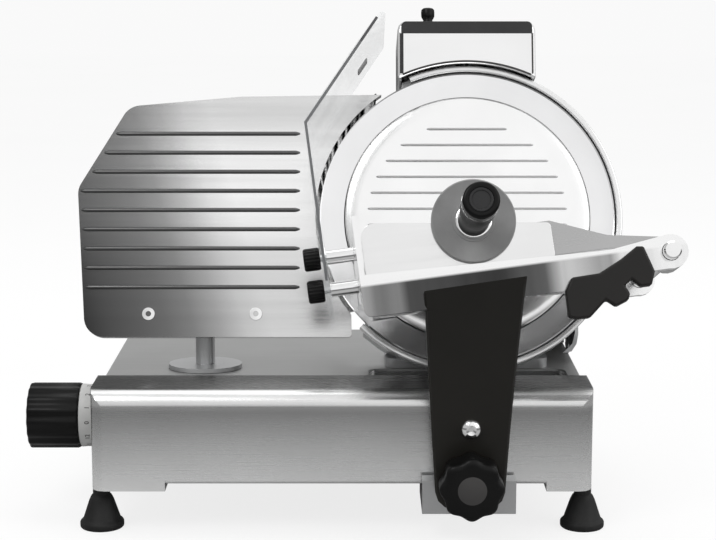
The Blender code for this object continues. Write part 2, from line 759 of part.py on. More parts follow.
def cable_gland(frame):
    start = BASE_DEPTH - BASE_WALL - OVERRUN
    face = BASE_DEPTH + GAP
    end = BASE_DEPTH + GLAND_LENGTH
    profile = [
        (GLAND_BORE, start), (GLAND_NECK, start), (GLAND_NECK, face), (GLAND_FLANGE, face),
        (GLAND_FLANGE, face + OVERRUN), (GLAND_NECK + GLAND_BORE / 2, face + OVERRUN),
        (GLAND_BORE * 3 / 2, end), (GLAND_BORE, end),
    ]
    gland = turned(profile, SMALL_SIDES, "Y")
    return piece("cable_gland", gland, "black_plastic", frame, (GLAND_X, 0, GLAND_Z))


# Blade, hub and guards, in the tilted frame: x right, y up the blade plane, z towards the user

def blade(tilt):
    profile = [
        (BLADE_RADIUS, 0), (HOLLOW_IN, -HOLLOW_DEPTH), (DISH_RADIUS, -DISH_DEPTH),
        (BLADE_BORE, -DISH_DEPTH), (BLADE_BORE, -DISH_DEPTH - BLADE_THICK),
        (DISH_RADIUS + BLADE_THICK / 2, -DISH_DEPTH - BLADE_THICK * 3 / 4), (BEVEL_IN, -BLADE_THICK * 4 / 5),
        (BLADE_RADIUS - MERGE, -GAP),
    ]
    return piece("blade", turned(profile, FINE_SIDES), "stainless", tilt)


def blade_pulley(tilt):
    front = -PULLEY_FRONT
    back = front - PULLEY_WIDTH
    spigot = -DISH_DEPTH - BLADE_THICK / 2
    bearing = BEARING_RADIUS + GAP
    lip = BEARING_RADIUS - BEARING_WIDTH / 3
    profile = [(lip, spigot), (BLADE_BORE - GAP, spigot), (BLADE_BORE - GAP, front), (PULLEY_RADIUS, front)]
    pitch = (PULLEY_WIDTH - 2 * BELT_THICK) / GROOVE_COUNT
    for i in range(GROOVE_COUNT):
        start = front - BELT_THICK - i * pitch
        profile += [(PULLEY_RADIUS, start), (PULLEY_RADIUS - GROOVE_DEPTH, start - pitch / 2)]
    profile += [(PULLEY_RADIUS, back + BELT_THICK), (PULLEY_RADIUS, back), (bearing, back),
                (bearing, front - GAP), (lip, front - GAP)]
    return piece("blade_pulley", turned(profile, SIDES), "satin", tilt)


def hub_pin(tilt):
    """Fixed hollow pin: it is bolted in the housing's boss, and the pulley turns on it."""
    front = -DISH_DEPTH - BLADE_THICK - SCREW_RADIUS
    collar_front = -HOUSING_BACK + HOUSING_PLATE + BLADE_THICK
    end = -HOUSING_BACK - HUB_BOSS_LENGTH - BEARING_WIDTH / 2
    collar_back = -HOUSING_BACK + HOUSING_PLATE + GAP
    profile = [(TIE_RADIUS + RUN, front), (PIN_RADIUS, front), (PIN_RADIUS, collar_front),
               (PIN_RADIUS + BLADE_THICK, collar_front), (PIN_RADIUS + BLADE_THICK, collar_back),
               (PIN_RADIUS, collar_back), (PIN_RADIUS, end), (TIE_RADIUS + RUN, end)]
    return piece("hub_pin", turned(profile, SMALL_SIDES), "steel", tilt)


def hub_bearing(tilt):
    """Double-row bearing between the pin and the pulley."""
    front = -PULLEY_FRONT - 2 * GAP
    back = -PULLEY_FRONT - PULLEY_WIDTH
    profile = [(PIN_RADIUS + GAP, back), (BEARING_RADIUS, back), (BEARING_RADIUS, front),
               (PIN_RADIUS + GAP, front)]
    return piece("hub_bearing", turned(profile), "steel", tilt)


def blade_cover(tilt):
    boss_end = -DISH_DEPTH - BLADE_THICK - GAP
    bore = TIE_RADIUS + RUN
    profile = [
        (0, COVER_FRONT), (COVER_RADIUS - COVER_CHAMFER, COVER_FRONT), (COVER_RADIUS, COVER_RIM),
        (COVER_RADIUS - COVER_CHAMFER, -COVER_BACK), (COVER_BOSS, -COVER_BACK), (COVER_BOSS, boss_end),
        (bore, boss_end), (bore, -COVER_BACK), (0, -COVER_BACK),
    ]
    cover = piece("blade_cover", turned(profile, FINE_SIDES), "polished", tilt)
    ribs = bmesh.new()
    for i in range(-COVER_RIB_PAIRS, COVER_RIB_PAIRS + 1):
        y = (i + 1 / 2) * COVER_RIB_PITCH
        if abs(y) > COVER_RIB_REACH:
            continue
        reach = math.sqrt(COVER_RIB_REACH ** 2 - y ** 2) + COVER_RIB_WIDTH
        rib = rounded_box(-reach, reach, y - COVER_RIB_WIDTH / 2, y + COVER_RIB_WIDTH / 2,
                          COVER_RIB_WIDTH * RIB_END_SHARE, RIB_STEP)
        add_shape(ribs, extruded(rib, COVER_FRONT - COVER_RIB_HEIGHT, COVER_FRONT + COVER_RIB_HEIGHT))
    return join(cover, ribs)


def cover_tie_rod(tilt):
    """Rod that holds the cover disc, screwed up from behind by its own knob."""
    tip = -COVER_BACK - GAP
    seat = -HOUSING_BACK - HUB_BOSS_LENGTH - BEARING_WIDTH / 2 - GAP
    end = seat - TIE_KNOB_LENGTH
    edge = TIE_KNOB_LENGTH / 8
    profile = [(0, tip), (TIE_RADIUS, tip), (TIE_RADIUS, seat), (TIE_KNOB_RADIUS * 3 / 5, seat),
               (TIE_KNOB_RADIUS, seat - TIE_KNOB_LENGTH / 3), (TIE_KNOB_RADIUS, end + edge),
               (TIE_KNOB_RADIUS - edge, end), (0, end)]
    return piece("cover_tie_rod", turned(profile, SMALL_SIDES), "black_plastic", tilt)


def ring_sector(inner, outer, steps):
    return arc(0, 0, outer, RING_START, RING_END, steps) + arc(0, 0, inner, RING_END, RING_START, steps)


def ring_guard(tilt):
    return piece("ring_guard", extruded(ring_sector(RING_INNER, RING_OUTER, FINE_SIDES * 2 // 3),
                                        -RING_BACK, RING_FRONT), "polished", tilt)


def plane_y(z, behind):
    """Y at a height of the plane that lies a distance behind the blade's."""
    up = (z - BLADE_Z + behind * math.sin(BLADE_TILT)) / math.cos(BLADE_TILT)
    return BLADE_Y + up * math.sin(BLADE_TILT) + behind * math.cos(BLADE_TILT)


def housing_outline(radius, low, high):
    """Disc cut by a chord on the side where the blade cuts."""
    start = -math.pi + math.acos(low / radius)
    end = math.pi - math.acos(high / radius)
    return arc(0, 0, radius, start, end, FINE_SIDES * 2 // 3)


def blade_housing(tilt, frame):
    front = -RING_BACK - GAP
    body = piece("blade_housing", extruded(housing_outline(RING_OUTER, HOUSING_CHORD_LOW, HOUSING_CHORD_HIGH),
                                           -HOUSING_BACK, front), "cast", tilt)
    inner = RING_OUTER - HOUSING_WALL
    pocket = arc(0, 0, inner, -math.pi, math.pi, FINE_SIDES)[:-1]
    cut(body, extruded(pocket, -HOUSING_BACK + HOUSING_PLATE, front + OVERRUN))
    boss_end = -HOUSING_BACK - HUB_BOSS_LENGTH
    boss_root = -HOUSING_BACK + HOUSING_PLATE / 2
    join(body, turned([(0, boss_end), (HUB_BOSS * 4 / 5, boss_end), (HUB_BOSS, boss_root), (0, boss_root)]))
    well_top = WELL_FLOOR + GAP
    deck = DECK_TOP + GAP
    flange = rounded_box(BLADE_X - FLANGE_HALF, BLADE_X + FLANGE_HALF, WELL_BACK + GAP, FLANGE_BACK,
                         WELL_ROUND)
    join(body, extruded(flange, deck - OVERRUN, deck + FLANGE_THICK), frame)
    inside = HOUSING_BACK - HOUSING_PLATE / 2
    for side in (-1, 1):
        x = BLADE_X + side * FLANGE_HALF * 4 / 5
        gusset = [(FLANGE_BACK - WELL_ROUND, deck + FLANGE_THICK / 2),
                  (plane_y(deck + FLANGE_THICK / 2, inside), deck + FLANGE_THICK / 2),
                  (plane_y(deck + FLANGE_THICK * 4, inside), deck + FLANGE_THICK * 4)]
        join(body, extruded(gusset, x - HOUSING_WALL / 2, x + HOUSING_WALL / 2, "X"), frame)
    wide = (-BASE_WIDTH, BASE_WIDTH)
    cut(body, block(wide, (-BASE_DEPTH, BASE_DEPTH), (-BASE_DEPTH, well_top)), frame)
    cut(body, block(wide, (WELL_BACK - BASE_WALL, BASE_DEPTH), (-BASE_DEPTH, deck)), frame)
    hole_low = boss_end - OVERRUN
    hole_high = -HOUSING_BACK + HOUSING_PLATE + OVERRUN
    cut(body, rod_shape(PIN_RADIUS + GAP, hole_low, hole_high, SIDES))
    cut(body, moved(rod_shape(MOTOR_SHAFT + 2 * RUN, hole_low, hole_high), MOTOR_X, MOTOR_Y))
    return body


def motor(tilt):
    face = -HOUSING_BACK - GAP
    end = face - MOTOR_LENGTH
    edge = MOTOR_BOSS / 4
    bore = MOTOR_SHAFT + RUN
    middle = face - MOTOR_LENGTH / 2
    profile = [(0, middle), (bore, middle), (bore, face), (MOTOR_BOSS, face), (MOTOR_BOSS, face - edge),
               (MOTOR_RADIUS - edge, face - edge), (MOTOR_RADIUS, face - 2 * edge),
               (MOTOR_RADIUS, end + edge), (MOTOR_RADIUS - edge, end), (0, end)]
    return piece("motor", turned(profile, SIDES), "dark_plastic", tilt, (MOTOR_X, MOTOR_Y, 0))


def motor_rotor(tilt):
    """Shaft with its small belt pulley."""
    end = -HOUSING_BACK - MOTOR_LENGTH / 2
    back = -PULLEY_FRONT - PULLEY_WIDTH
    front = -PULLEY_FRONT
    profile = [(0, end), (MOTOR_SHAFT, end), (MOTOR_SHAFT, back), (MOTOR_PULLEY, back)]
    profile += [(MOTOR_PULLEY, back + BELT_THICK), (MOTOR_PULLEY - GROOVE_DEPTH, back + BELT_THICK),
                (MOTOR_PULLEY - GROOVE_DEPTH, front - BELT_THICK), (MOTOR_PULLEY, front - BELT_THICK)]
    profile += [(MOTOR_PULLEY, front), (0, front)]
    return piece("motor_rotor", turned(profile, SMALL_SIDES), "steel", tilt, (MOTOR_X, MOTOR_Y, 0))


def belt_outline(extra):
    """Line round both pulleys at a distance from them."""
    big = PULLEY_RADIUS + extra
    small = MOTOR_PULLEY + extra
    away = math.hypot(MOTOR_X, MOTOR_Y)
    heading = math.atan2(MOTOR_Y, MOTOR_X)
    open_angle = math.acos((big - small) / away)
    return (arc(0, 0, big, heading + open_angle, heading + math.tau - open_angle, BELT_STEPS)
            + arc(MOTOR_X, MOTOR_Y, small, heading - open_angle, heading + open_angle, BELT_STEPS // 2))


def drive_belt(tilt):
    low = -PULLEY_FRONT - PULLEY_WIDTH / 2 - BELT_WIDTH / 2
    solid = extruded(belt_outline(GAP + BELT_THICK), low, low + BELT_WIDTH)
    belt = piece("drive_belt", solid, "rubber", tilt)
    return cut(belt, extruded(belt_outline(GAP), low - OVERRUN, low + BELT_WIDTH + OVERRUN))


def cover_outline(extra):
    """Rounded box round the motor, its corners as wide as the motor allows."""
    reach = MOTOR_RADIUS + MOTOR_ROOM + extra
    low = MOTOR_Y - reach - MOTOR_RADIUS - PLANE_DROP
    return rounded_box(MOTOR_X - reach, MOTOR_X + reach, low, MOTOR_Y + reach, reach * MOTOR_CORNER_SHARE)


def motor_cover(tilt, frame):
    front = -HOUSING_BACK - GAP
    back = front - MOTOR_LENGTH - MOTOR_ROOM - COVER_SHELL
    cover = piece("motor_cover", extruded(cover_outline(COVER_SHELL), back, front), "satin", tilt)
    bevel(cover, SHARP_ROUND, 1, STEEP_ANGLE)
    cut(cover, extruded(cover_outline(0), back + COVER_SHELL, front + OVERRUN))
    deck = DECK_TOP + GAP
    wide = (-BASE_WIDTH, BASE_WIDTH)
    cut(cover, block(wide, (0, BASE_DEPTH * 2), (-BASE_DEPTH, deck)), frame)
    cut(cover, block(wide, (0, FLANGE_BACK + GAP), (0, deck + FLANGE_THICK + GAP)), frame)
    room = HUB_BOSS + GAP * 3
    cut(cover, rod_shape(room, -HOUSING_BACK - HUB_BOSS_LENGTH * 2, front + OVERRUN, SIDES))
    vents = bmesh.new()
    for i in range(VENT_SLOTS):
        x = MOTOR_X + (i - (VENT_SLOTS - 1) / 2) * VENT_SLOT_PITCH
        slot = rounded_box(x - VENT_SLOT_WIDTH / 2, x + VENT_SLOT_WIDTH / 2, MOTOR_Y - VENT_SLOT_LENGTH / 2,
                           MOTOR_Y + VENT_SLOT_LENGTH / 2, VENT_SLOT_WIDTH / 3,
                           RIB_STEP)
        add_shape(vents, extruded(slot, back - OVERRUN, back + COVER_SHELL + OVERRUN / 2))
    return cut(cover, vents)


def slice_deflector(tilt):
    """Bent sheet on the back of the housing that leads slices off the blade."""
    back = -HOUSING_BACK - GAP
    right = -HOUSING_CHORD_HIGH + DEFLECTOR_REACH / 2
    left = -HOUSING_CHORD_LOW - DEFLECTOR_THICK
    path = [(right, back), (left, back), (left - DEFLECTOR_REACH / 2, back - DEFLECTOR_REACH)]
    thin = DEFLECTOR_THICK
    outline = path + [(path[2][0] + thin, path[2][1] - thin / 2), (left + thin / 2, back - thin),
                      (right, back - thin)]
    sheet = turn_axes(extruded(outline, DEFLECTOR_LOW, DEFLECTOR_HIGH), "Y")
    return piece("slice_deflector", sheet, "stainless", tilt)


# Gauge plate and thickness index

def gauge_outline():
    """Plate with its right side hollowed round the blade, whose centre lies above the plate's origin."""
    def hollow_x(y):
        return -math.sqrt(GAUGE_ARC ** 2 - (y - PLANE_DROP) ** 2)

    high_x = hollow_x(GAUGE_TOP)
    low = PLANE_DROP - math.sqrt(GAUGE_ARC ** 2 - GAUGE_LOW_RIGHT ** 2)
    start = math.atan2(low - PLANE_DROP, GAUGE_LOW_RIGHT) + math.tau
    end = math.atan2(GAUGE_TOP - PLANE_DROP, high_x)
    left = rounded([(GAUGE_LOW_RIGHT, GAUGE_LEFT_LOW[1], 0), (high_x, GAUGE_TOP, 0), (*GAUGE_TOP_MIDDLE, 0),
                    (*GAUGE_TOP_LEFT, GAUGE_CORNER), (*GAUGE_LEFT_HIGH, GAUGE_CORNER),
                    (*GAUGE_LEFT_LOW, GAUGE_CORNER)])
    return left[2:] + left[:1] + arc(0, PLANE_DROP, GAUGE_ARC, start, end, SIDES)


def gauge_left_edge(y):
    """X of the plate's left edge at a height, with its chamfer at the top."""
    (x0, y0), (x1, y1), (x2, y2) = GAUGE_LEFT_LOW, GAUGE_LEFT_HIGH, GAUGE_TOP_LEFT
    if y < y1:
        return x0 + (x1 - x0) * (y - y0) / (y1 - y0)
    return x1 + (x2 - x1) * (y - y1) / (y2 - y1)


def gauge_screw_places():
    return [(-GAUGE_SCREW_X + side * GAUGE_SCREW_SPAN / 2, GAUGE_SCREW_Y) for side in (-1, 1)]


def gauge_plate(tilt):
    back = GAUGE_FRONT - GAUGE_RIM_DEPTH
    bm = extruded(gauge_outline(), back, GAUGE_FRONT)
    face = min(bm.faces, key=lambda f: (f.calc_center_median().z, -f.calc_area()))
    bmesh.ops.inset_region(bm, faces=[face], thickness=GAUGE_RIM)
    bmesh.ops.translate(bm, verts=list(face.verts), vec=(0, 0, GAUGE_RIM_DEPTH - GAUGE_THICK))
    plate = piece("gauge_plate", bm, "satin", tilt)
    ribs = bmesh.new()
    for i in range(GAUGE_RIBS):
        y = GAUGE_RIB_TOP - i * GAUGE_RIB_PITCH
        left = gauge_left_edge(y + GAUGE_RIB_WIDTH / 2) + GAUGE_RIB_INSET
        rib = rounded_box(left, GAUGE_RIB_RIGHT, y - GAUGE_RIB_WIDTH / 2, y + GAUGE_RIB_WIDTH / 2,
                          GAUGE_RIB_WIDTH * RIB_END_SHARE, RIB_STEP)
        add_shape(ribs, extruded(rib, GAUGE_FRONT - GAUGE_RIB_HEIGHT, GAUGE_FRONT + GAUGE_RIB_HEIGHT))
    join(plate, ribs)
    holes = bmesh.new()
    low = GAUGE_FRONT - GAUGE_THICK - OVERRUN
    high = GAUGE_FRONT + OVERRUN
    narrow = GAUGE_SCREW_RADIUS + GAP
    wide = GAUGE_SCREW_HEAD + GAP
    for x, y in gauge_screw_places():
        hole = turned([(0, low), (narrow, low), (narrow, GAUGE_FRONT + narrow - wide), (wide, GAUGE_FRONT),
                       (wide, high), (0, high)], SMALL_SIDES)
        add_shape(holes, moved(hole, x, y))
    return cut(plate, holes)


def gauge_bracket(tilt, frame):
    """Bar behind the gauge plate with the post that goes down through the deck, and its oval flange."""
    slider_top = GUIDE_ROD_Z + SLIDER_HALF_HEIGHT
    bar_front = GAUGE_FRONT - GAUGE_THICK - GAP
    half = GAUGE_SCREW_SPAN / 2 + BAR_HEIGHT / 2
    bar = rounded_box(-GAUGE_SCREW_X - half, -GAUGE_SCREW_X + half, GAUGE_SCREW_Y - BAR_HEIGHT / 2,
                      GAUGE_SCREW_Y + BAR_HEIGHT / 2, BAR_HEIGHT / 4)
    body = piece("gauge_bracket", extruded(bar, bar_front - BAR_THICK, bar_front), "satin", tilt)
    top = PLANE_Z + GAUGE_SCREW_Y * math.cos(BLADE_TILT) - BAR_HEIGHT / 4
    crown = top - BAR_HEIGHT / 8
    join(body, moved(rod_shape(POST_RADIUS, slider_top + GAP, crown), POST_X, POST_Y), frame)
    head_y = PLANE_Y + GAUGE_SCREW_Y * math.sin(BLADE_TILT) + BAR_THICK
    web_y = POST_Y + POST_RADIUS * 4 / 5
    web = [(head_y, top), (web_y, top), (web_y, top - BAR_HEIGHT / 2), (POST_Y, top - BAR_HEIGHT),
           (head_y, top - BAR_HEIGHT / 4)]
    join(body, extruded(web, POST_X - WEB_HALF, POST_X + WEB_HALF, "X"), frame)
    oval = [(POST_X + OVAL_HALF_X * math.cos(math.tau * (i + 1 / 2) / SIDES),
             POST_Y + OVAL_HALF_Y * math.sin(math.tau * (i + 1 / 2) / SIDES)) for i in range(SIDES)]
    join(body, extruded(oval, DECK_TOP + GAP, DECK_TOP + GAP + OVAL_THICK), frame)
    holes = bmesh.new()
    for x, y in gauge_screw_places():
        hole = rod_shape(GAUGE_SCREW_RADIUS + GAP, bar_front - BAR_THICK - OVERRUN, bar_front + OVERRUN)
        add_shape(holes, moved(hole, x, y))
    return cut(body, holes, tilt)


GUIDE_FRONT = POST_Y - SLIDER_LENGTH / 2 - GUIDE_ROOM


def gauge_guide(frame):
    """Bracket under the deck with the round rod that the slider runs on."""
    top = DECK_TOP - BASE_WALL - GAP
    low = GUIDE_ROD_Z - SLIDER_HALF_HEIGHT
    back = GUIDE_FRONT + GUIDE_LEG_SPACE
    x_ends = (POST_X - GUIDE_HALF_WIDTH, POST_X + GUIDE_HALF_WIDTH)
    body = piece("gauge_guide_bracket", block(x_ends, (GUIDE_FRONT - GUIDE_LEG_THICK, back + GUIDE_LEG_THICK),
                                              (low, top)), "steel", frame)
    cut(body, block((x_ends[0] - OVERRUN, x_ends[1] + OVERRUN), (GUIDE_FRONT, back),
                    (low - OVERRUN, top - GUIDE_LEG_THICK)))
    reach = POST_RADIUS + 2 * RUN
    slot = rounded_box(POST_X - reach, POST_X + reach, POST_Y - reach, POST_Y + GAUGE_TRAVEL + reach, reach)
    cut(body, extruded(slot, top - GUIDE_LEG_THICK - OVERRUN, top + OVERRUN))
    start = GUIDE_FRONT - GUIDE_LEG_THICK
    end = back + GUIDE_LEG_THICK
    hole = rod_shape(GUIDE_ROD_RADIUS + GAP, start - OVERRUN, end + OVERRUN, axis="Y")
    cut(body, moved(hole, x=POST_X, z=GUIDE_ROD_Z))
    rod = rod_shape(GUIDE_ROD_RADIUS, start, end, axis="Y")
    piece("gauge_guide_rod", rod, "steel", frame, (POST_X, 0, GUIDE_ROD_Z))
    return body


CAM_RIGHT = POST_X - SLIDER_HALF_WIDTH - FOLLOWER_ARM - CAM_FACE_GAP


def gauge_slider(frame):
    """Block on the guide rod, with the arm and pin that follow the scroll cam."""
    front = POST_Y - SLIDER_LENGTH / 2
    left = POST_X - SLIDER_HALF_WIDTH
    low = GUIDE_ROD_Z - SLIDER_HALF_HEIGHT
    high = GUIDE_ROD_Z + SLIDER_HALF_HEIGHT
    shape = block((left, POST_X + SLIDER_HALF_WIDTH), (front, front + SLIDER_LENGTH), (low, high))
    body = piece("gauge_slider", shape, "steel", frame)
    pin_y = INDEX_Y + CAM_START
    arm = [(pin_y - FOLLOWER_ARM, INDEX_Z - FOLLOWER_ARM), (front + FOLLOWER_ARM * 2, low + GAP),
           (front + FOLLOWER_ARM * 2, high - GAP), (pin_y - FOLLOWER_ARM, INDEX_Z + FOLLOWER_ARM)]
    arm_shape = rounded([(*point, FOLLOWER_ARM / 2) for point in arm])
    join(body, extruded(arm_shape, left - FOLLOWER_ARM, left + GAP, "X"))
    start = left - FOLLOWER_ARM - CAM_FACE_GAP - CAM_GROOVE_DEPTH + RUN
    pin = rod_shape(FOLLOWER_RADIUS, start, left - FOLLOWER_ARM / 2, axis="X")
    join(body, moved(pin, y=pin_y, z=INDEX_Z))
    hole = rod_shape(GUIDE_ROD_RADIUS + RUN, front - OVERRUN, front + SLIDER_LENGTH + OVERRUN, axis="Y")
    return cut(body, moved(hole, x=POST_X, z=GUIDE_ROD_Z))


def index_knob(frame):
    """Fluted knob, its dial, and the shaft that carries the scroll cam."""
    dial_left = -HALF - GAP - INDEX_DIAL_LENGTH
    knob_left = dial_left - GAP - INDEX_KNOB_LENGTH
    hub = empty("index_axis", frame, (0, INDEX_Y, INDEX_Z))
    fluted = lobed(INDEX_KNOB_RADIUS, INDEX_FLUTE_DEPTH, INDEX_FLUTES, 4)
    body = extruded(fluted, knob_left, dial_left - GAP, "X")
    knob = piece("index_knob", body, "black_plastic", hub)
    bevel(knob, INDEX_EDGE, 1, STEEP_ANGLE)
    bore = INDEX_SHAFT + GAP
    seat = knob_left + INDEX_KNOB_LENGTH / 3
    cut(knob, rod_shape(bore, seat, dial_left + OVERRUN, axis="X"))
    dial = turned([(bore, dial_left), (INDEX_DIAL_RIM, dial_left), (INDEX_DIAL_RADIUS, -HALF - GAP),
                   (bore, -HALF - GAP)], SIDES, "X")
    piece("index_dial", dial, "pale_plastic", hub)
    cam_left = CAM_RIGHT - CAM_THICK
    end = CAM_RIGHT + CAM_GROOVE_DEPTH / 2
    profile = [(0, seat + GAP), (INDEX_SHAFT, seat + GAP), (INDEX_SHAFT, cam_left), (CAM_RADIUS, cam_left),
               (CAM_RADIUS, CAM_RIGHT), (INDEX_SHAFT, CAM_RIGHT), (INDEX_SHAFT, end), (0, end)]
    shaft = piece("index_shaft_and_cam", turned(profile, SIDES, "X"), "steel", hub)
    groove = scroll_strip()
    cut(shaft, extruded(groove, CAM_RIGHT - CAM_GROOVE_DEPTH, CAM_RIGHT + OVERRUN, "X"))
    return hub


def scroll_strip():
    """Spiral groove, seen along the shaft: its radius grows evenly as the knob turns."""
    steps = SIDES + SMALL_SIDES // 2
    rise = GAUGE_TRAVEL / CAM_TURN

    def at(angle, side):
        radius = CAM_START + rise * min(CAM_TURN, max(0, angle)) + side * CAM_GROOVE_HALF
        return (radius * math.cos(-angle), radius * math.sin(-angle))

    angles = [-CAM_LEAD_IN + (CAM_TURN + CAM_LEAD_IN + CAM_LEAD_OUT) * i / steps for i in range(steps + 1)]
    return [at(angle, 1) for angle in angles] + [at(angle, -1) for angle in reversed(angles)]


# Carriage

def slide_block(carriage):
    side = [(LUG_FRONT, BLOCK_LOW), (RISER_BACK, BLOCK_LOW), (RISER_BACK, RISER_TOP),
            (RISER_FRONT, RISER_TOP), (RISER_FRONT, FOOT_TOP), (LUG_BACK, FOOT_TOP), (LUG_BACK, LUG_TOP),
            (LUG_FRONT, LUG_TOP)]
    body = piece("slide_block", extruded(side, -BLOCK_HALF, BLOCK_HALF, "X"), "satin", carriage)
    for sign in (-1, 1):
        neck = sorted((sign * LUG_NECK, sign * (BLOCK_HALF + OVERRUN)))
        cut(body, block(neck, (LUG_FRONT - OVERRUN, LUG_BACK + OVERRUN), (LUG_SHOULDER, LUG_TOP + OVERRUN)))
        riser = sorted((sign * RISER_HALF, sign * (BLOCK_HALF + OVERRUN)))
        cut(body, block(riser, (RISER_FRONT - OVERRUN, RISER_BACK + OVERRUN),
                        (FOOT_TOP, RISER_TOP + OVERRUN)))
    reach = BLOCK_HALF + OVERRUN
    cut(body, moved(rod_shape(ROD_RADIUS + RUN, -reach, reach, axis="X"), y=ROD_Y, z=ROD_Z))
    hole = rod_shape(SPINDLE_RADIUS + GAP, LUG_FRONT - OVERRUN, LUG_BACK + OVERRUN, axis="Y")
    cut(body, moved(hole, z=LOCK_Z))
    end = RISER_BACK + ROLLER_WIDTH + 2 * RUN + GAP * 2
    return join(body, moved(rod_shape(ROLLER_PIN, RISER_BACK - ROLLER_PIN, end, axis="Y"), z=ROLLER_Z))


def guide_roller(carriage):
    start = RUN
    profile = [(ROLLER_PIN + RUN, start), (ROLLER_RADIUS, start), (ROLLER_RADIUS, start + ROLLER_WIDTH),
               (ROLLER_PIN + RUN, start + ROLLER_WIDTH)]
    roller = turned(profile, SIDES, "Y")
    return piece("guide_roller", roller, "pale_plastic", carriage, (0, RISER_BACK, ROLLER_Z))


ARM_BACK = LUG_FRONT - GAP


def arm_side(z):
    """Y of the arm's back face at a height: upright at the base, then leaning to the tray's apron."""
    share = max(0, (z - ARM_BEND) / (PLANE_Z - ARM_BEND))
    bent = ARM_STRAIGHT_SHARE * share + (1 - ARM_STRAIGHT_SHARE) * share * share
    return ARM_BACK - ARM_LEAN * bent * (PLANE_Z - ARM_BEND) / (ARM_TOP - ARM_BEND)


def carriage_arm(carriage, tray_frame):
    steps = ARM_STEPS
    heights = [ARM_LOW, ARM_BEND] + [ARM_BEND + (ARM_TOP - ARM_BEND) * (i + 1) / steps for i in range(steps)]
    side = [(arm_side(z), z) for z in heights] + [(arm_side(z) - ARM_THICK, z) for z in reversed(heights)]
    sweep = extruded(side, -ARM_TOP_HALF * 2, ARM_TOP_HALF * 2, "X")
    arm = piece("carriage_arm", sweep, "black_paint", carriage)
    front = rounded([(-ARM_LOW_HALF, ARM_LOW, ARM_ROUND), (ARM_LOW_HALF, ARM_LOW, ARM_ROUND),
                     (ARM_TOP_HALF, ARM_TOP, 0), (-ARM_TOP_HALF, ARM_TOP, 0)])
    combine(arm, extruded(front, -BASE_DEPTH, BASE_DEPTH, "Y"), "INTERSECT")
    bevel(arm, ARM_EDGE, 1, STEEP_ANGLE)
    far = BASE_WIDTH
    apron_low = TRAY_FLOOR - APRON_HEIGHT - GAP
    cut(arm, block((-far, far), (apron_low, far), (-far, TRAY_FRONT + GAP)), tray_frame)
    cut(arm, block((-far, far), (apron_low + ARM_PAD_HIGH, far), (-far, far)), tray_frame)
    cut(arm, moved(rod_shape(SPINDLE_RADIUS + GAP, -BASE_DEPTH, BASE_DEPTH, axis="Y"), z=LOCK_Z))
    seat = ARM_BACK - ARM_THICK
    sunk = rod_shape(SPINDLE_RADIUS, seat - OVERRUN, seat + OVERRUN, axis="Y")
    return cut(arm, moved(sunk, z=ARM_SCREW_Z))


def lock_knob(carriage):
    """Lobed knob on a spindle that clamps the arm to the slide block."""
    face = ARM_BACK - ARM_THICK - GAP
    hub = empty("lock_axis", carriage, (0, face, LOCK_Z))
    body = extruded(lobed(LOCK_RADIUS, LOCK_LOBE_DEPTH, LOCK_LOBES), -LOCK_LENGTH, 0, "Y")
    knob = piece("lock_knob", body, "black_plastic", hub)
    bevel(knob, LOCK_EDGE, 1, STEEP_ANGLE)
    bore = SPINDLE_RADIUS + GAP
    cut(knob, rod_shape(bore, -LOCK_LENGTH / 2, OVERRUN, axis="Y"))
    spindle = rod_shape(SPINDLE_RADIUS, -LOCK_LENGTH / 2 + GAP, LUG_BACK - face, axis="Y")
    piece("lock_spindle", spindle, "steel", hub)
    return hub


# Tray and meat press, in the tilted frame rolled with the tray

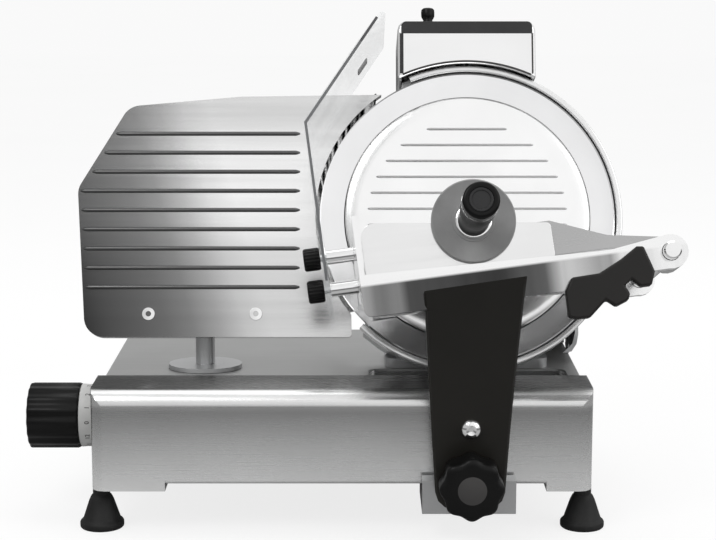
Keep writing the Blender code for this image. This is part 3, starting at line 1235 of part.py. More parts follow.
def tray(rolled):
    low = TRAY_FLOOR - TRAY_WALL
    inner = TRAY_LEFT + TRAY_WALL
    top = TRAY_FLOOR + FENCE_HEIGHT
    outline = rounded([
        (TRAY_LEFT, low, TRAY_FILLET + TRAY_WALL), (TRAY_RIGHT, low, 0), (TRAY_RIGHT, TRAY_FLOOR, 0),
        (inner, TRAY_FLOOR, TRAY_FILLET), (inner, top, TRAY_WALL / 3), (TRAY_LEFT, top, TRAY_WALL / 3),
    ])
    body = piece("tray", extruded(outline, TRAY_BACK, TRAY_FRONT), "polished", rolled)
    apron_low = TRAY_FLOOR - APRON_HEIGHT
    apron = rounded([(TRAY_LEFT, apron_low, TRAY_FILLET), (TRAY_RIGHT, apron_low, TRAY_FILLET),
                     (TRAY_RIGHT, TRAY_FLOOR - GAP, 0), (TRAY_LEFT, TRAY_FLOOR - GAP + TRAY_FILLET, 0)])
    join(body, extruded(apron, TRAY_FRONT - TRAY_WALL, TRAY_FRONT))
    lip_left = TRAY_LEFT + TRAY_FILLET + TRAY_WALL
    lip = [(lip_left, TRAY_FLOOR - BACK_LIP), (TRAY_RIGHT - GAP, TRAY_FLOOR - BACK_LIP),
           (TRAY_RIGHT - GAP, TRAY_FLOOR - TRAY_WALL / 2), (lip_left, TRAY_FLOOR - TRAY_WALL / 2)]
    join(body, extruded(lip, TRAY_BACK, TRAY_BACK + TRAY_WALL))
    for i in range(UNDER_RIBS):
        x = TRAY_LEFT + (TRAY_RIGHT - TRAY_LEFT) * (i + 1) / (UNDER_RIBS + 1)
        join(body, block((x - UNDER_RIB_THICK / 2, x + UNDER_RIB_THICK / 2),
                         (low - UNDER_RIB_HEIGHT, low + TRAY_WALL / 2),
                         (TRAY_BACK + TRAY_WALL / 2, TRAY_FRONT - TRAY_WALL / 2)))
    join(body, extruded(ear_outline(), TRAY_FRONT - EAR_FRONT_THICK, TRAY_FRONT - GAP))
    join(body, extruded(ear_outline(), TRAY_BACK + GAP, TRAY_BACK + GAP + EAR_BACK_THICK))
    rod_hole = rod_shape(PRESS_ROD_RADIUS + GAP, 0, TRAY_FRONT + OVERRUN, SIDES)
    cut(body, moved(rod_hole, PRESS_ROD_X, PRESS_ROD_Y))
    holes = bmesh.new()
    for y in (THUMB_HIGH, THUMB_LOW):
        hole = rod_shape(THUMB_SHAFT + GAP, TRAY_LEFT - OVERRUN, inner + OVERRUN / 2, axis="X")
        add_shape(holes, moved(hole, y=y, z=THUMB_Z))
    return cut(body, holes)


def ear_outline():
    """Ear that carries the rod beside the tray: from the floor's end to a round eye."""
    root = TRAY_RIGHT - EAR_ROOT_HIGH
    high = TRAY_FLOOR - GAP
    low = TRAY_FLOOR - APRON_HEIGHT + TRAY_FILLET
    eye = arc(PRESS_ROD_X, PRESS_ROD_Y, EAR_RADIUS, EAR_START, EAR_END, SMALL_SIDES)
    return [(root, low)] + eye + [(root, high)]


def press_rod(rolled):
    start = TRAY_BACK + GAP
    end = TRAY_FRONT + CLAMP_THICK
    edge = PRESS_ROD_RADIUS / 6
    rod = turned([(0, start), (PRESS_ROD_RADIUS, start), (PRESS_ROD_RADIUS, end - edge),
                  (PRESS_ROD_RADIUS - edge, end), (0, end)], SIDES)
    return piece("press_rod", rod, "stainless", rolled, (PRESS_ROD_X, PRESS_ROD_Y, 0))


def rod_clamp(level):
    """Dark clamp plate in front of the tray's right end, with its hook below."""
    outline = [(CLAMP_LEFT + x * CLAMP_WIDTH, CLAMP_LOW + y * CLAMP_HEIGHT) for x, y in CLAMP_SHARES]
    near = TRAY_FRONT + GAP
    body = piece("rod_clamp", extruded(outline, near, near + CLAMP_THICK), "dark_plastic", level)
    return bevel(body, CLAMP_EDGE)


def guard_sheet(rolled):
    half = SHEET_THICK / 2
    ahead = Vector((SHEET_TOP_X - SHEET_X, SHEET_TOP_Y - SHEET_BEND)).normalized()
    out = Vector((-ahead.y, ahead.x)) * half
    round_in = SHEET_THICK * 2
    lean = half * math.tan(ahead.angle(Vector((0, 1))) / 2)
    outline = rounded([
        (SHEET_X - half, SHEET_LOW, 0), (SHEET_X + half, SHEET_LOW, 0),
        (SHEET_X + half, SHEET_BEND - lean, round_in),
        (SHEET_TOP_X - out.x, SHEET_TOP_Y - out.y, 0), (SHEET_TOP_X + out.x, SHEET_TOP_Y + out.y, 0),
        (SHEET_X - half, SHEET_BEND + lean, round_in + SHEET_THICK),
    ])
    body = piece("guard_sheet", extruded(outline, SHEET_BACK, SHEET_FRONT), "clear", rolled)
    side = rounded([
        (SHEET_LOW - OVERRUN, SHEET_BACK - OVERRUN, 0), (SHEET_TOP_Y + SHEET_THICK, SHEET_BACK - OVERRUN, 0),
        (SHEET_TOP_Y + SHEET_THICK, SHEET_FRONT, SHEET_CORNER * 2),
        (SHEET_LOW - OVERRUN / 4, SHEET_FRONT, SHEET_CORNER),
    ])
    combine(body, extruded(side, SHEET_X - OVERRUN * 2, SHEET_TOP_X + OVERRUN * 2, "X"), "INTERSECT")
    holes = bmesh.new()
    for y in (THUMB_HIGH, THUMB_LOW):
        hole = rod_shape(THUMB_SHAFT + GAP, SHEET_X - OVERRUN, SHEET_X + OVERRUN, axis="X")
        add_shape(holes, moved(hole, y=y, z=THUMB_Z))
    return cut(body, holes)


def guard_hardware(rolled):
    """Stand-off sleeves between the guard sheet and the tray's wall, and the thumb screws through them."""
    near = SHEET_X + SHEET_THICK / 2 + GAP
    far = TRAY_LEFT - GAP
    bore = THUMB_SHAFT + GAP
    sleeve = [(bore, near), (SPACER_RADIUS, near), (SPACER_RADIUS, far), (bore, far)]
    face = SHEET_X - SHEET_THICK / 2 - GAP
    tip = TRAY_LEFT + TRAY_WALL
    edge = THUMB_HEAD / 5
    end = face - THUMB_HEAD_LENGTH
    screw = [(0, end), (THUMB_HEAD - edge, end), (THUMB_HEAD, end + edge), (THUMB_HEAD, face - edge),
             (THUMB_HEAD - edge, face), (THUMB_SHAFT, face), (THUMB_SHAFT, tip), (0, tip)]
    for word, y in (("upper", THUMB_HIGH), ("lower", THUMB_LOW)):
        place = (0, y, THUMB_Z)
        piece("guard_spacer_" + word, turned(sleeve, SMALL_SIDES, "X"), "stainless", rolled, place)
        piece("guard_thumb_screw_" + word, turned(screw, SMALL_SIDES, "X"), "black_plastic", rolled, place)


PRESS_HUB_FRONT = TRAY_FRONT - EAR_FRONT_THICK - GAP
PRESS_HUB_BACK = PRESS_HUB_FRONT - PRESS_HUB_LENGTH


def press_sleeve(sliding):
    """Bush that slides on the rod; the press swings on it. Its collars keep the hub in place."""
    bore = PRESS_ROD_RADIUS + GAP
    profile = [(bore, PRESS_HUB_BACK), (SLEEVE_RADIUS, PRESS_HUB_BACK), (SLEEVE_RADIUS, PRESS_HUB_FRONT),
               (bore, PRESS_HUB_FRONT)]
    return piece("press_sleeve", turned(profile, SIDES), "pale_plastic", sliding)


def press_arm(swinging):
    """Tapered arm from the hub to the back of the press plate. Its frame stands on the rod's axis."""
    back = PRESS_PLATE_FRONT - PRESS_PLATE_THICK - GAP - PRESS_ARM_THICK
    front = PRESS_PLATE_FRONT - PRESS_PLATE_THICK - GAP
    low = TRAY_FLOOR + PRESS_PLATE_CLEAR + PRESS_TOOTH_DEPTH / 2
    points = [
        (PRESS_ARM_INNER, low), (PRESS_ARM_MIDDLE, low), (PRESS_ROD_X, PRESS_ROD_Y + SLEEVE_RADIUS / 5),
        (PRESS_ROD_X, PRESS_ROD_Y + PRESS_HUB_RADIUS), (PRESS_ARM_MIDDLE, low + PRESS_ARM_MIDDLE_HIGH),
        (PRESS_PLATE_RIGHT, low + PRESS_PLATE_RIGHT_HIGH), (PRESS_ARM_INNER, low + PRESS_PLATE_RIGHT_HIGH),
    ]
    outline = [(x - PRESS_ROD_X, y - PRESS_ROD_Y) for x, y in points]
    hub = rod_shape(PRESS_HUB_RADIUS, PRESS_HUB_BACK + GAP, PRESS_HUB_FRONT - GAP, SIDES)
    body = piece("press_arm", hub, "polished", swinging)
    join(body, extruded(outline, back, front))
    low_end = PRESS_HUB_BACK - OVERRUN
    return cut(body, rod_shape(SLEEVE_RADIUS + GAP, low_end, PRESS_HUB_FRONT + OVERRUN, SIDES))


def press_plate(swinging):
    """Plate that presses the meat on: a row of saw teeth runs along its back, beside the arm."""
    low = TRAY_FLOOR + PRESS_PLATE_CLEAR - PRESS_ROD_Y
    left = TRAY_LEFT + TRAY_WALL + PRESS_PLATE_CLEAR - PRESS_ROD_X
    right = PRESS_PLATE_RIGHT - PRESS_ROD_X
    teeth_end = PRESS_ARM_INNER - PRESS_ROD_X - PRESS_PLATE_CLEAR
    back = PRESS_PLATE_FRONT - PRESS_PLATE_THICK
    high = low + PRESS_PLATE_LEFT_HIGH
    outline = rounded([(left, low, SMALL_ROUND), (right, low, SMALL_ROUND),
                       (right, low + PRESS_PLATE_RIGHT_HIGH, SMALL_ROUND), (left, high, CORNER_ROUND)])
    body = piece("press_plate", extruded(outline, back, PRESS_PLATE_FRONT), "polished", swinging)
    saw = [(high, back + PRESS_PLATE_THICK / 2), (low, back + PRESS_PLATE_THICK / 2)]
    pitch = (high - low) / PRESS_TEETH
    for i in range(PRESS_TEETH):
        saw += [(low + i * pitch, back), (low + (i + 1 / 2) * pitch, back - PRESS_TOOTH_DEPTH)]
    saw.append((high, back))
    teeth = piece("teeth", extruded(saw, left, teeth_end, "X"), "polished", swinging)
    inside = extruded(outline, back - PRESS_TOOTH_DEPTH * 2, PRESS_PLATE_FRONT - PRESS_PLATE_THICK / 4)
    combine(teeth, inside, "INTERSECT")
    shape = bmesh.new()
    shape.from_mesh(teeth.data)
    bpy.data.objects.remove(teeth, do_unlink=True)
    return join(body, shape)


def press_handle(swinging):
    """Hand guard disc and grip, square to the press plate."""
    x = HANDLE_X - PRESS_ROD_X
    y = HANDLE_Y - PRESS_ROD_Y
    near = PRESS_PLATE_FRONT + GAP
    place = (x, y, near)
    edge = DISC_THICK / 3
    disc = turned([(GRIP_STUD + GAP, 0), (DISC_RADIUS - edge, 0), (DISC_RADIUS, edge),
                   (DISC_RADIUS, DISC_THICK - edge), (DISC_RADIUS - edge, DISC_THICK),
                   (GRIP_STUD + GAP, DISC_THICK)], SIDES)
    piece("hand_guard", disc, "grey_plastic", swinging, place)
    start = DISC_THICK + GAP
    cap_seat = start + GRIP_LENGTH - GRIP_CAP_THICK
    profile = [(0, GAP), (GRIP_STUD, GAP), (GRIP_STUD, start)]
    profile += [(GRIP_RADIUS * wide, start + GRIP_LENGTH * far) for wide, far in GRIP_SHARES]
    profile += [(GRIP_CAP_RADIUS + GAP, start + GRIP_LENGTH), (GRIP_CAP_RADIUS + GAP, cap_seat - GAP),
                (0, cap_seat - GAP)]
    piece("press_grip", turned(profile, SIDES), "black_plastic", swinging, place)


# Sharpener

def sharpener_cover(tilt):
    seat_end = math.sqrt(SHARP_SEAT ** 2 - SHARP_HALF ** 2)
    angle = math.acos(SHARP_HALF / SHARP_SEAT)
    outline = rounded([(SHARP_HALF, seat_end, 0), (SHARP_HALF, SHARP_TOP, SHARP_ROUND),
                       (-SHARP_HALF, SHARP_TOP, SHARP_ROUND), (-SHARP_HALF, seat_end, 0)])
    outline = outline[1:-1] + arc(0, 0, SHARP_SEAT, math.pi - angle, angle, SMALL_SIDES)
    body = piece("sharpener_cover", extruded(outline, -SHARP_BACK, SHARP_FRONT), "polished", tilt)
    bevel(body, SHARP_ROUND / 4, 1, STEEP_ANGLE)
    inside = SHARP_HALF - SHARP_SHELL
    cut(body, block((-inside, inside), (0, SHARP_TOP - SHARP_SHELL),
                    (-SHARP_BACK + SHARP_SHELL, SHARP_FRONT - SHARP_SHELL)))
    holes = bmesh.new()
    for x in (-STONE_X, STONE_X):
        hole = rod_shape(STONE_SHAFT + RUN, -SHARP_BACK - OVERRUN, -SHARP_BACK + SHARP_SHELL + OVERRUN)
        add_shape(holes, moved(hole, x, STONE_Y))
    cut(body, holes)
    stem_hole = rod_shape(SHARP_STEM + GAP, SHARP_TOP - SHARP_SHELL - OVERRUN, SHARP_TOP + OVERRUN, axis="Y")
    return cut(body, moved(stem_hole, x=SHARP_KNOB_X))


def sharpener_knob(tilt):
    face = SHARP_TOP + GAP
    end = face + SHARP_KNOB_LENGTH
    edge = SHARP_KNOB_RADIUS / 5
    low = SHARP_TOP - SHARP_SHELL - OVERRUN
    profile = [(0, low), (SHARP_STEM, low), (SHARP_STEM, face), (SHARP_KNOB_NECK, face),
               (SHARP_KNOB_NECK, face + SHARP_KNOB_LENGTH / 3),
               (SHARP_KNOB_RADIUS, face + SHARP_KNOB_LENGTH * 2 / 5),
               (SHARP_KNOB_RADIUS, end - edge), (SHARP_KNOB_RADIUS - edge, end), (0, end)]
    knob = turned(profile, SMALL_SIDES, "Y")
    return piece("sharpener_knob", knob, "black_plastic", tilt, (SHARP_KNOB_X, 0, 0))


def sharpener_post(tilt):
    """Round post under the cover's roof, which slides in the bracket behind the housing."""
    top = SHARP_TOP - SHARP_SHELL - GAP
    post = rod_shape(SHARP_POST_RADIUS, SHARP_POST_LOW, top, axis="Y")
    return piece("sharpener_post", post, "steel", tilt, (0, 0, SHARP_POST_Z))


def sharpener_bracket(tilt):
    face = -HOUSING_BACK - GAP
    shape = block((-SHARP_BRACKET_HALF, SHARP_BRACKET_HALF), (SHARP_BRACKET_LOW, SHARP_BRACKET_HIGH),
                  (face - SHARP_BRACKET_THICK, face))
    body = piece("sharpener_bracket", shape, "cast", tilt)
    floor = SHARP_BRACKET_LOW + GAP * 3
    hole = rod_shape(SHARP_POST_RADIUS + RUN, floor, SHARP_BRACKET_HIGH + OVERRUN, axis="Y")
    return cut(body, moved(hole, z=SHARP_POST_Z))


def sharpener_stones(tilt):
    """Two stones on sprung shafts, each pushed to the blade by a button at the back."""
    seat = -SHARP_BACK - GAP - BUTTON_PUSH
    for word, x in (("grinding", -STONE_X), ("honing", STONE_X)):
        stop = STONE_FRONT + GAP
        profile = [(0, seat - BUTTON_LENGTH), (BUTTON_RADIUS, seat - BUTTON_LENGTH), (BUTTON_RADIUS, seat),
                   (STONE_SHAFT, seat), (STONE_SHAFT, stop), (STONE_STOP, stop),
                   (STONE_STOP, stop + STONE_SHAFT), (0, stop + STONE_SHAFT)]
        piece(word + "_button", turned(profile, SMALL_SIDES), "black_plastic", tilt, (x, STONE_Y, 0))
        back = STONE_FRONT - STONE_THICK
        bore = STONE_SHAFT + GAP
        edge = STONE_THICK / 5
        wheel = turned([(bore, back), (STONE_RADIUS * 2 / 3, back), (STONE_RADIUS, back + edge),
                        (STONE_RADIUS, STONE_FRONT), (STONE_RADIUS * 3 / 5, STONE_FRONT),
                        (STONE_RADIUS / 2, STONE_FRONT - edge), (bore, STONE_FRONT - edge / 4)], SMALL_SIDES)
        piece(word + "_stone", wheel, "stone", tilt, (x, STONE_Y, 0))


def build():
    for item in list(bpy.data.objects):
        bpy.data.objects.remove(item, do_unlink=True)
    left = -HALF - GAP - INDEX_DIAL_LENGTH - GAP - INDEX_KNOB_LENGTH
    rod_x = PRESS_ROD_X * math.cos(TRAY_ROLL) - PRESS_ROD_Y * math.sin(TRAY_ROLL)
    right = BLADE_X + rod_x + EAR_RADIUS
    grip_end = PRESS_PLATE_FRONT + DISC_THICK + GRIP_LENGTH
    front = PLANE_Y - grip_end * math.cos(BLADE_TILT) - GRIP_RADIUS
    back = BASE_DEPTH + GLAND_LENGTH
    frame = empty("machine", None, (-(left + right) / 2, -(front + back) / 2, 0))
    tilt = empty("blade_plane", frame, (BLADE_X, BLADE_Y, BLADE_Z), (math.pi / 2 - BLADE_TILT, 0, 0))
    carriage = empty("carriage", frame, (CARRIAGE_X, 0, 0))
    plane = empty("gauge_plane", frame, (BLADE_X, PLANE_Y, PLANE_Z), (math.pi / 2 - BLADE_TILT, 0, 0))
    level = empty("carriage_plane", frame, (BLADE_X, PLANE_Y, PLANE_Z), (math.pi / 2 - BLADE_TILT, 0, 0))
    rolled = empty("tray_plane", level, (0, 0, 0), (0, 0, TRAY_ROLL))
    rod_axis = empty("press_rod_axis", rolled, (PRESS_ROD_X, PRESS_ROD_Y, 0))

    base_housing(frame)
    rubber_feet(frame)
    bottom_plate(frame)
    carriage_rod(frame)
    guide_bar(frame)
    switch(frame)
    cable_gland(frame)

    blade(tilt)
    blade_pulley(tilt)
    hub_pin(tilt)
    hub_bearing(tilt)
    blade_cover(tilt)
    cover_tie_rod(tilt)
    ring_guard(tilt)
    blade_housing(tilt, frame)
    motor(tilt)
    motor_rotor(tilt)
    drive_belt(tilt)
    motor_cover(tilt, frame)
    slice_deflector(tilt)

    gauge_plate(plane)
    gauge_bracket(plane, frame)
    gauge_guide(frame)
    gauge_slider(frame)
    index_knob(frame)

    slide_block(carriage)
    guide_roller(carriage)
    carriage_arm(carriage, rolled)
    lock_knob(carriage)

    tray(rolled)
    press_rod(rolled)
    rod_clamp(level)
    guard_sheet(rolled)
    guard_hardware(rolled)
    press_sleeve(rod_axis)
    press_arm(rod_axis)
    press_plate(rod_axis)
    press_handle(rod_axis)

    sharpener_cover(tilt)
    sharpener_knob(tilt)
    sharpener_post(tilt)
    sharpener_bracket(tilt)
    sharpener_stones(tilt)


build()
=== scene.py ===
"""Meat slicer: surfaces, small parts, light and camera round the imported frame."""

import math

import bmesh
import bpy
from mathutils import Matrix, Vector


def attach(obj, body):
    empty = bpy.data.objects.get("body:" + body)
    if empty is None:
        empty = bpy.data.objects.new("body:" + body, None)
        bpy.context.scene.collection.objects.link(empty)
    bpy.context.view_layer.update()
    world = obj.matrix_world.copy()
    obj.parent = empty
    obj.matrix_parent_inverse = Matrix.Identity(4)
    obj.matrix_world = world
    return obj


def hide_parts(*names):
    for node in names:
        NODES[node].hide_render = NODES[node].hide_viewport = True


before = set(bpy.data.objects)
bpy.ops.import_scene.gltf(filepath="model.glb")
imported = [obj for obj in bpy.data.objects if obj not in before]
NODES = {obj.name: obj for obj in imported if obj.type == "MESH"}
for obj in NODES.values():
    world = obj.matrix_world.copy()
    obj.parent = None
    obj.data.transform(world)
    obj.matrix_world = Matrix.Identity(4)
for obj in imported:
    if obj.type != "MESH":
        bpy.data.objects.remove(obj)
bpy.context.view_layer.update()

# Places shared with the frame, in metres
TILT = Matrix.Translation((0.098378, 0.038746, 0.223182)) @ Matrix.Rotation(math.radians(72), 4, "X")
PLANE = Matrix.Translation((0.098378, 0.036738, 0.217)) @ Matrix.Rotation(math.radians(72), 4, "X")
ROLLED = PLANE @ Matrix.Rotation(math.radians(7.66), 4, "Z")
BASE = Matrix.Translation((-0.002022, -0.093254, 0))
ALONG_X = Matrix.Rotation(math.radians(90), 4, "Y")
ALONG_Y = Matrix.Rotation(math.radians(-90), 4, "X")


# Shapes

def turned(profile, sides=96):
    """Closed solid of revolution about Z of (radius, height) points."""
    bm = bmesh.new()
    points = [bm.verts.new((radius, 0, height)) for radius, height in profile]
    pairs = list(zip(points, points[1:]))
    if profile[0][0] > 0 or profile[-1][0] > 0:
        pairs.append((points[-1], points[0]))
    edges = [bm.edges.new(pair) for pair in pairs]
    bmesh.ops.spin(bm, geom=points + edges, axis=(0, 0, 1), cent=(0, 0, 0), angle=math.tau, steps=sides)
    bmesh.ops.remove_doubles(bm, verts=bm.verts, dist=0.000001)
    return bm


def extruded(outline, low, high):
    """Closed solid of an outline between two heights."""
    bm = bmesh.new()
    face = bm.faces.new([bm.verts.new((x, y, low)) for x, y in outline])
    grown = bmesh.ops.extrude_face_region(bm, geom=[face])
    top = [item for item in grown["geom"] if isinstance(item, bmesh.types.BMVert)]
    bmesh.ops.translate(bm, verts=top, vec=(0, 0, high - low))
    return bm


def arc(x, y, radius, start, end, steps):
    return [(x + radius * math.cos(start + (end - start) * i / steps),
             y + radius * math.sin(start + (end - start) * i / steps)) for i in range(steps + 1)]


def rounded(corners, step=math.radians(9)):
    """Outline whose corners (x, y, radius) are turned into arcs."""
    path = []
    for i, (x, y, radius) in enumerate(corners):
        here = Vector((x, y))
        if radius <= 0:
            path.append((x, y))
            continue
        back = (Vector(corners[i - 1][:2]) - here).normalized()
        ahead = (Vector(corners[(i + 1) % len(corners)][:2]) - here).normalized()
        half = back.angle(ahead) / 2
        centre = here + (back + ahead).normalized() * (radius / math.sin(half))
        start = here + back * (radius / math.tan(half)) - centre
        end = here + ahead * (radius / math.tan(half)) - centre
        turn = math.atan2(start.x * end.y - start.y * end.x, start.dot(end))
        first = math.atan2(start.y, start.x)
        path += arc(centre.x, centre.y, radius, first, first + turn, max(1, math.ceil(abs(turn) / step)))
    return path


def lobed(radius, depth, lobes, per_lobe=14):
    """Round outline with shallow hollows, as on a hand knob."""
    count = lobes * per_lobe
    path = []
    for i in range(count):
        reach = radius - depth * (1 - math.cos(math.tau * i / per_lobe)) / 2
        path.append((reach * math.cos(math.tau * i / count), reach * math.sin(math.tau * i / count)))
    return path


def layered(outline, levels):
    """Solid whose outline shrinks by an inset at each (inset, height) level: it gives knobs their soft edges."""
    bm = bmesh.new()
    rows = []
    for inset, height in levels:
        row = []
        for x, y in outline:
            share = max(0, 1 - inset / math.hypot(x, y))
            row.append(bm.verts.new((x * share, y * share, height)))
        rows.append(row)
    count = len(outline)
    for lower, upper in zip(rows, rows[1:]):
        for i in range(count):
            bm.faces.new((lower[i], lower[(i + 1) % count], upper[(i + 1) % count], upper[i]))
    bm.faces.new(list(reversed(rows[0])))
    bm.faces.new(rows[-1])
    return bm


def merged(*shapes):
    """One mesh that holds several separate solids."""
    whole = bmesh.new()
    for bm in shapes:
        copy = bpy.data.meshes.new("copy")
        bm.to_mesh(copy)
        bm.free()
        whole.from_mesh(copy)
        bpy.data.meshes.remove(copy)
    return whole


def moved(bm, x=0, y=0, z=0):
    bmesh.ops.translate(bm, verts=bm.verts, vec=(x, y, z))
    return bm


def solid(name, bm, material, body, place=Matrix.Identity(4), instead=(), sharp=35, edge=0):
    """Add a piece that rides on a body; it may stand for nodes of the frame."""
    bm.transform(place)
    bmesh.ops.recalc_face_normals(bm, faces=bm.faces)
    mesh = bpy.data.meshes.new(name)
    bm.to_mesh(mesh)
    bm.free()
    mesh.materials.append(material)
    item = bpy.data.objects.new(name, mesh)
    bpy.context.collection.objects.link(item)
    if edge:
        soften(item, edge)
    mesh.shade_smooth()
    mesh.set_sharp_from_angle(angle=math.radians(sharp))
    if edge:
        even_shading(item)
    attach(item, body)
    if instead:
        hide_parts(*instead)
    return item


def even_shading(item):
    """Let large faces set the shading, so flat ones look flat beside rounded ones."""
    even = item.modifiers.new("even", "WEIGHTED_NORMAL")
    even.keep_sharp = True


def soften(item, width, segments=2, angle=40):
    bevel = item.modifiers.new("edges", "BEVEL")
    bevel.width = width
    bevel.segments = segments
    bevel.limit_method = "ANGLE"
    bevel.angle_limit = math.radians(angle)


# Surfaces

class Surface:
    """Principled material with its pattern nodes; patterns lie in the object's own space."""

    def __init__(self, name, colour, rough, metal=0.0, **more):
        self.material = bpy.data.materials.new(name)
        self.material.use_nodes = True
        self.tree = self.material.node_tree
        self.shader = self.tree.nodes["Principled BSDF"]
        self.colour = colour
        self.set("Base Color", (*colour, 1))
        self.set("Roughness", rough)
        self.set("Metallic", metal)
        for word, value in more.items():
            self.set(word.replace("_", " "), value)
        self.rough = rough
        self.place = self.tree.nodes.new("ShaderNodeTexCoord").outputs["Object"]
        self.height = None

    def set(self, socket, value):
        self.shader.inputs[socket].default_value = value

    def node(self, kind, links=None, **values):
        item = self.tree.nodes.new("ShaderNode" + kind)
        for word, value in values.items():
            setattr(item, word, value)
        for socket, source in (links or {}).items():
            if isinstance(source, bpy.types.NodeSocket):
                self.tree.links.new(source, item.inputs[socket])
            else:
                item.inputs[socket].default_value = source
        return item

    def mapped(self, scale=(1, 1, 1), place=None):
        """Object coordinates stretched per axis, in a frame of their own if one is given."""
        source = self.place
        if place is not None:
            turn = place.to_euler()
            source = self.node("Mapping", {"Vector": source, "Location": place.to_translation(), "Rotation": turn},
                               vector_type="TEXTURE").outputs[0]
        return self.node("Mapping", {"Vector": source, "Scale": scale}).outputs[0]

    def noise(self, scale, stretch=(1, 1, 1), place=None, detail=3.0, roughness=0.55):
        return self.node("TexNoise", {"Vector": self.mapped(stretch, place), "Scale": scale, "Detail": detail,
                                      "Roughness": roughness}).outputs["Fac"]

    def ramp(self, source, stops):
        item = self.node("ValToRGB", {"Fac": source})
        bar = item.color_ramp
        while len(bar.elements) < len(stops):
            bar.elements.new(0.5)
        for element, (at, value) in zip(bar.elements, stops):
            element.position = at
            element.color = (value, value, value, 1) if isinstance(value, (int, float)) else (*value, 1)
        return item.outputs["Color"]

    def spread(self, source, low, high, start=0.3, end=0.7):
        return self.node("MapRange", {"Value": source, "From Min": start, "From Max": end, "To Min": low,
                                      "To Max": high}).outputs[0]

    def vary_rough(self, source, swing):
        self.tree.links.new(self.spread(source, self.rough - swing, self.rough + swing),
                            self.shader.inputs["Roughness"])

    def vary_tone(self, source, low, high):
        """Colour from a darker to a lighter share of the surface's own."""
        dark = tuple(c * low for c in self.colour)
        light = tuple(min(1, c * high) for c in self.colour)
        self.tree.links.new(self.ramp(source, [(0.3, dark), (0.7, light)]), self.shader.inputs["Base Color"])

    def relief(self, source, strength, distance):
        links = {"Height": source, "Strength": strength, "Distance": distance}
        if self.height is not None:
            links["Normal"] = self.height
        self.height = self.node("Bump", links).outputs[0]
        self.tree.links.new(self.height, self.shader.inputs["Normal"])

    def radius_in(self, place, scale):
        """Distance from the Z axis of a frame, for turned marks."""
        flat = self.node("Mapping", {"Vector": self.mapped((1, 1, 1), place), "Scale": (1, 1, 0)}).outputs[0]
        length = self.node("VectorMath", {0: flat}, operation="LENGTH").outputs["Value"]
        return self.node("Math", {0: length, 1: scale}, operation="MULTIPLY").outputs[0]

    def turned_marks(self, place, strength, distance, swing, scale=2600.0):
        """Fine rings left by the lathe or the polishing wheel."""
        radius = self.radius_in(place, scale)
        rings = self.node("TexNoise", {"W": radius, "Scale": 1.0, "Detail": 4.0}, noise_dimensions="1D")
        self.relief(rings.outputs["Fac"], strength, distance)
        self.vary_rough(rings.outputs["Fac"], swing)
        return rings.outputs["Fac"]

    def along(self, axis, start, end, place=None):
        """Position between two values on an axis, as 0 to 1."""
        parts = self.node("SeparateXYZ", {0: self.mapped((1, 1, 1), place)})
        return self.node("MapRange", {"Value": parts.outputs[axis], "From Min": start, "From Max": end}).outputs[0]


def make_cast(name, colour, rough, metal=0.9):
    """Fine bead-blasted alloy."""
    made = Surface(name, colour, rough, metal)
    grain = made.noise(900.0, detail=5.0)
    made.relief(grain, 0.12, 0.0002)
    made.vary_rough(made.noise(60.0), 0.05)
    made.vary_tone(made.noise(25.0, detail=5.0), 0.93, 1.05)
    return made.material


def make_brushed(name, colour, rough, stretch, place=None, metal=1.0, strength=0.10):
    """Alloy brushed one way."""
    made = Surface(name, colour, rough, metal)
    lines = made.noise(160.0, stretch, place, detail=6.0)
    made.relief(lines, strength, 0.00015)
    made.vary_rough(lines, 0.06)
    made.vary_tone(made.noise(9.0, detail=3.0), 0.96, 1.03)
    return made.material


def make_turned(name, colour, rough, place, strength=0.10, metal=1.0):
    made = Surface(name, colour, rough, metal)
    made.turned_marks(place, strength, 0.0001, 0.05)
    made.vary_tone(made.noise(14.0, detail=3.0), 0.96, 1.03)
    return made.material


def make_plastic(name, colour, rough, grain=1400.0, strength=0.10, coat=0.0, shine=0.28):
    """Moulded plastic with a fine grain and slightly worn gloss."""
    made = Surface(name, colour, rough, Coat_Weight=coat, Specular_IOR_Level=shine)
    made.relief(made.noise(grain, detail=3.0), strength, 0.0001)
    made.vary_rough(made.noise(70.0, detail=4.0), 0.06)
    made.vary_tone(made.noise(30.0, detail=4.0), 0.85, 1.15)
    return made.material


def make_paint(name, colour, rough):
    """Baked paint with a little orange peel."""
    made = Surface(name, colour, rough, Specular_IOR_Level=0.25)
    made.relief(made.noise(320.0, detail=2.0), 0.08, 0.0004)
    made.vary_rough(made.noise(40.0, detail=4.0), 0.05)
    made.vary_tone(made.noise(18.0), 0.9, 1.15)
    return made.material


def make_rubber(name):
    made = Surface(name, (0.010, 0.010, 0.010), 0.6, Specular_IOR_Level=0.3)
    made.relief(made.noise(1100.0, detail=5.0), 0.25, 0.0002)
    made.vary_rough(made.noise(50.0), 0.1)
    made.vary_tone(made.noise(45.0, detail=5.0), 0.7, 1.5)
    return made.material


def make_stone(name, colour):
    made = Surface(name, colour, 0.92)
    made.relief(made.noise(1500.0, detail=6.0), 0.6, 0.0003)
    made.vary_rough(made.noise(90.0), 0.05)
    made.vary_tone(made.noise(1100.0, detail=4.0), 0.6, 1.5)
    return made.material


def make_clear(name):
    """Clear acrylic with faint handling marks."""
    made = Surface(name, (0.80, 0.83, 0.84), 0.05, Alpha=0.14)
    made.vary_rough(made.noise(24.0, detail=6.0), 0.03)
    made.relief(made.noise(30.0, detail=2.0), 0.02, 0.0005)
    haze = made.spread(made.noise(18.0, (1, 1, 0.3), detail=5.0), 0.10, 0.18)
    made.tree.links.new(haze, made.shader.inputs["Alpha"])
    return made.material


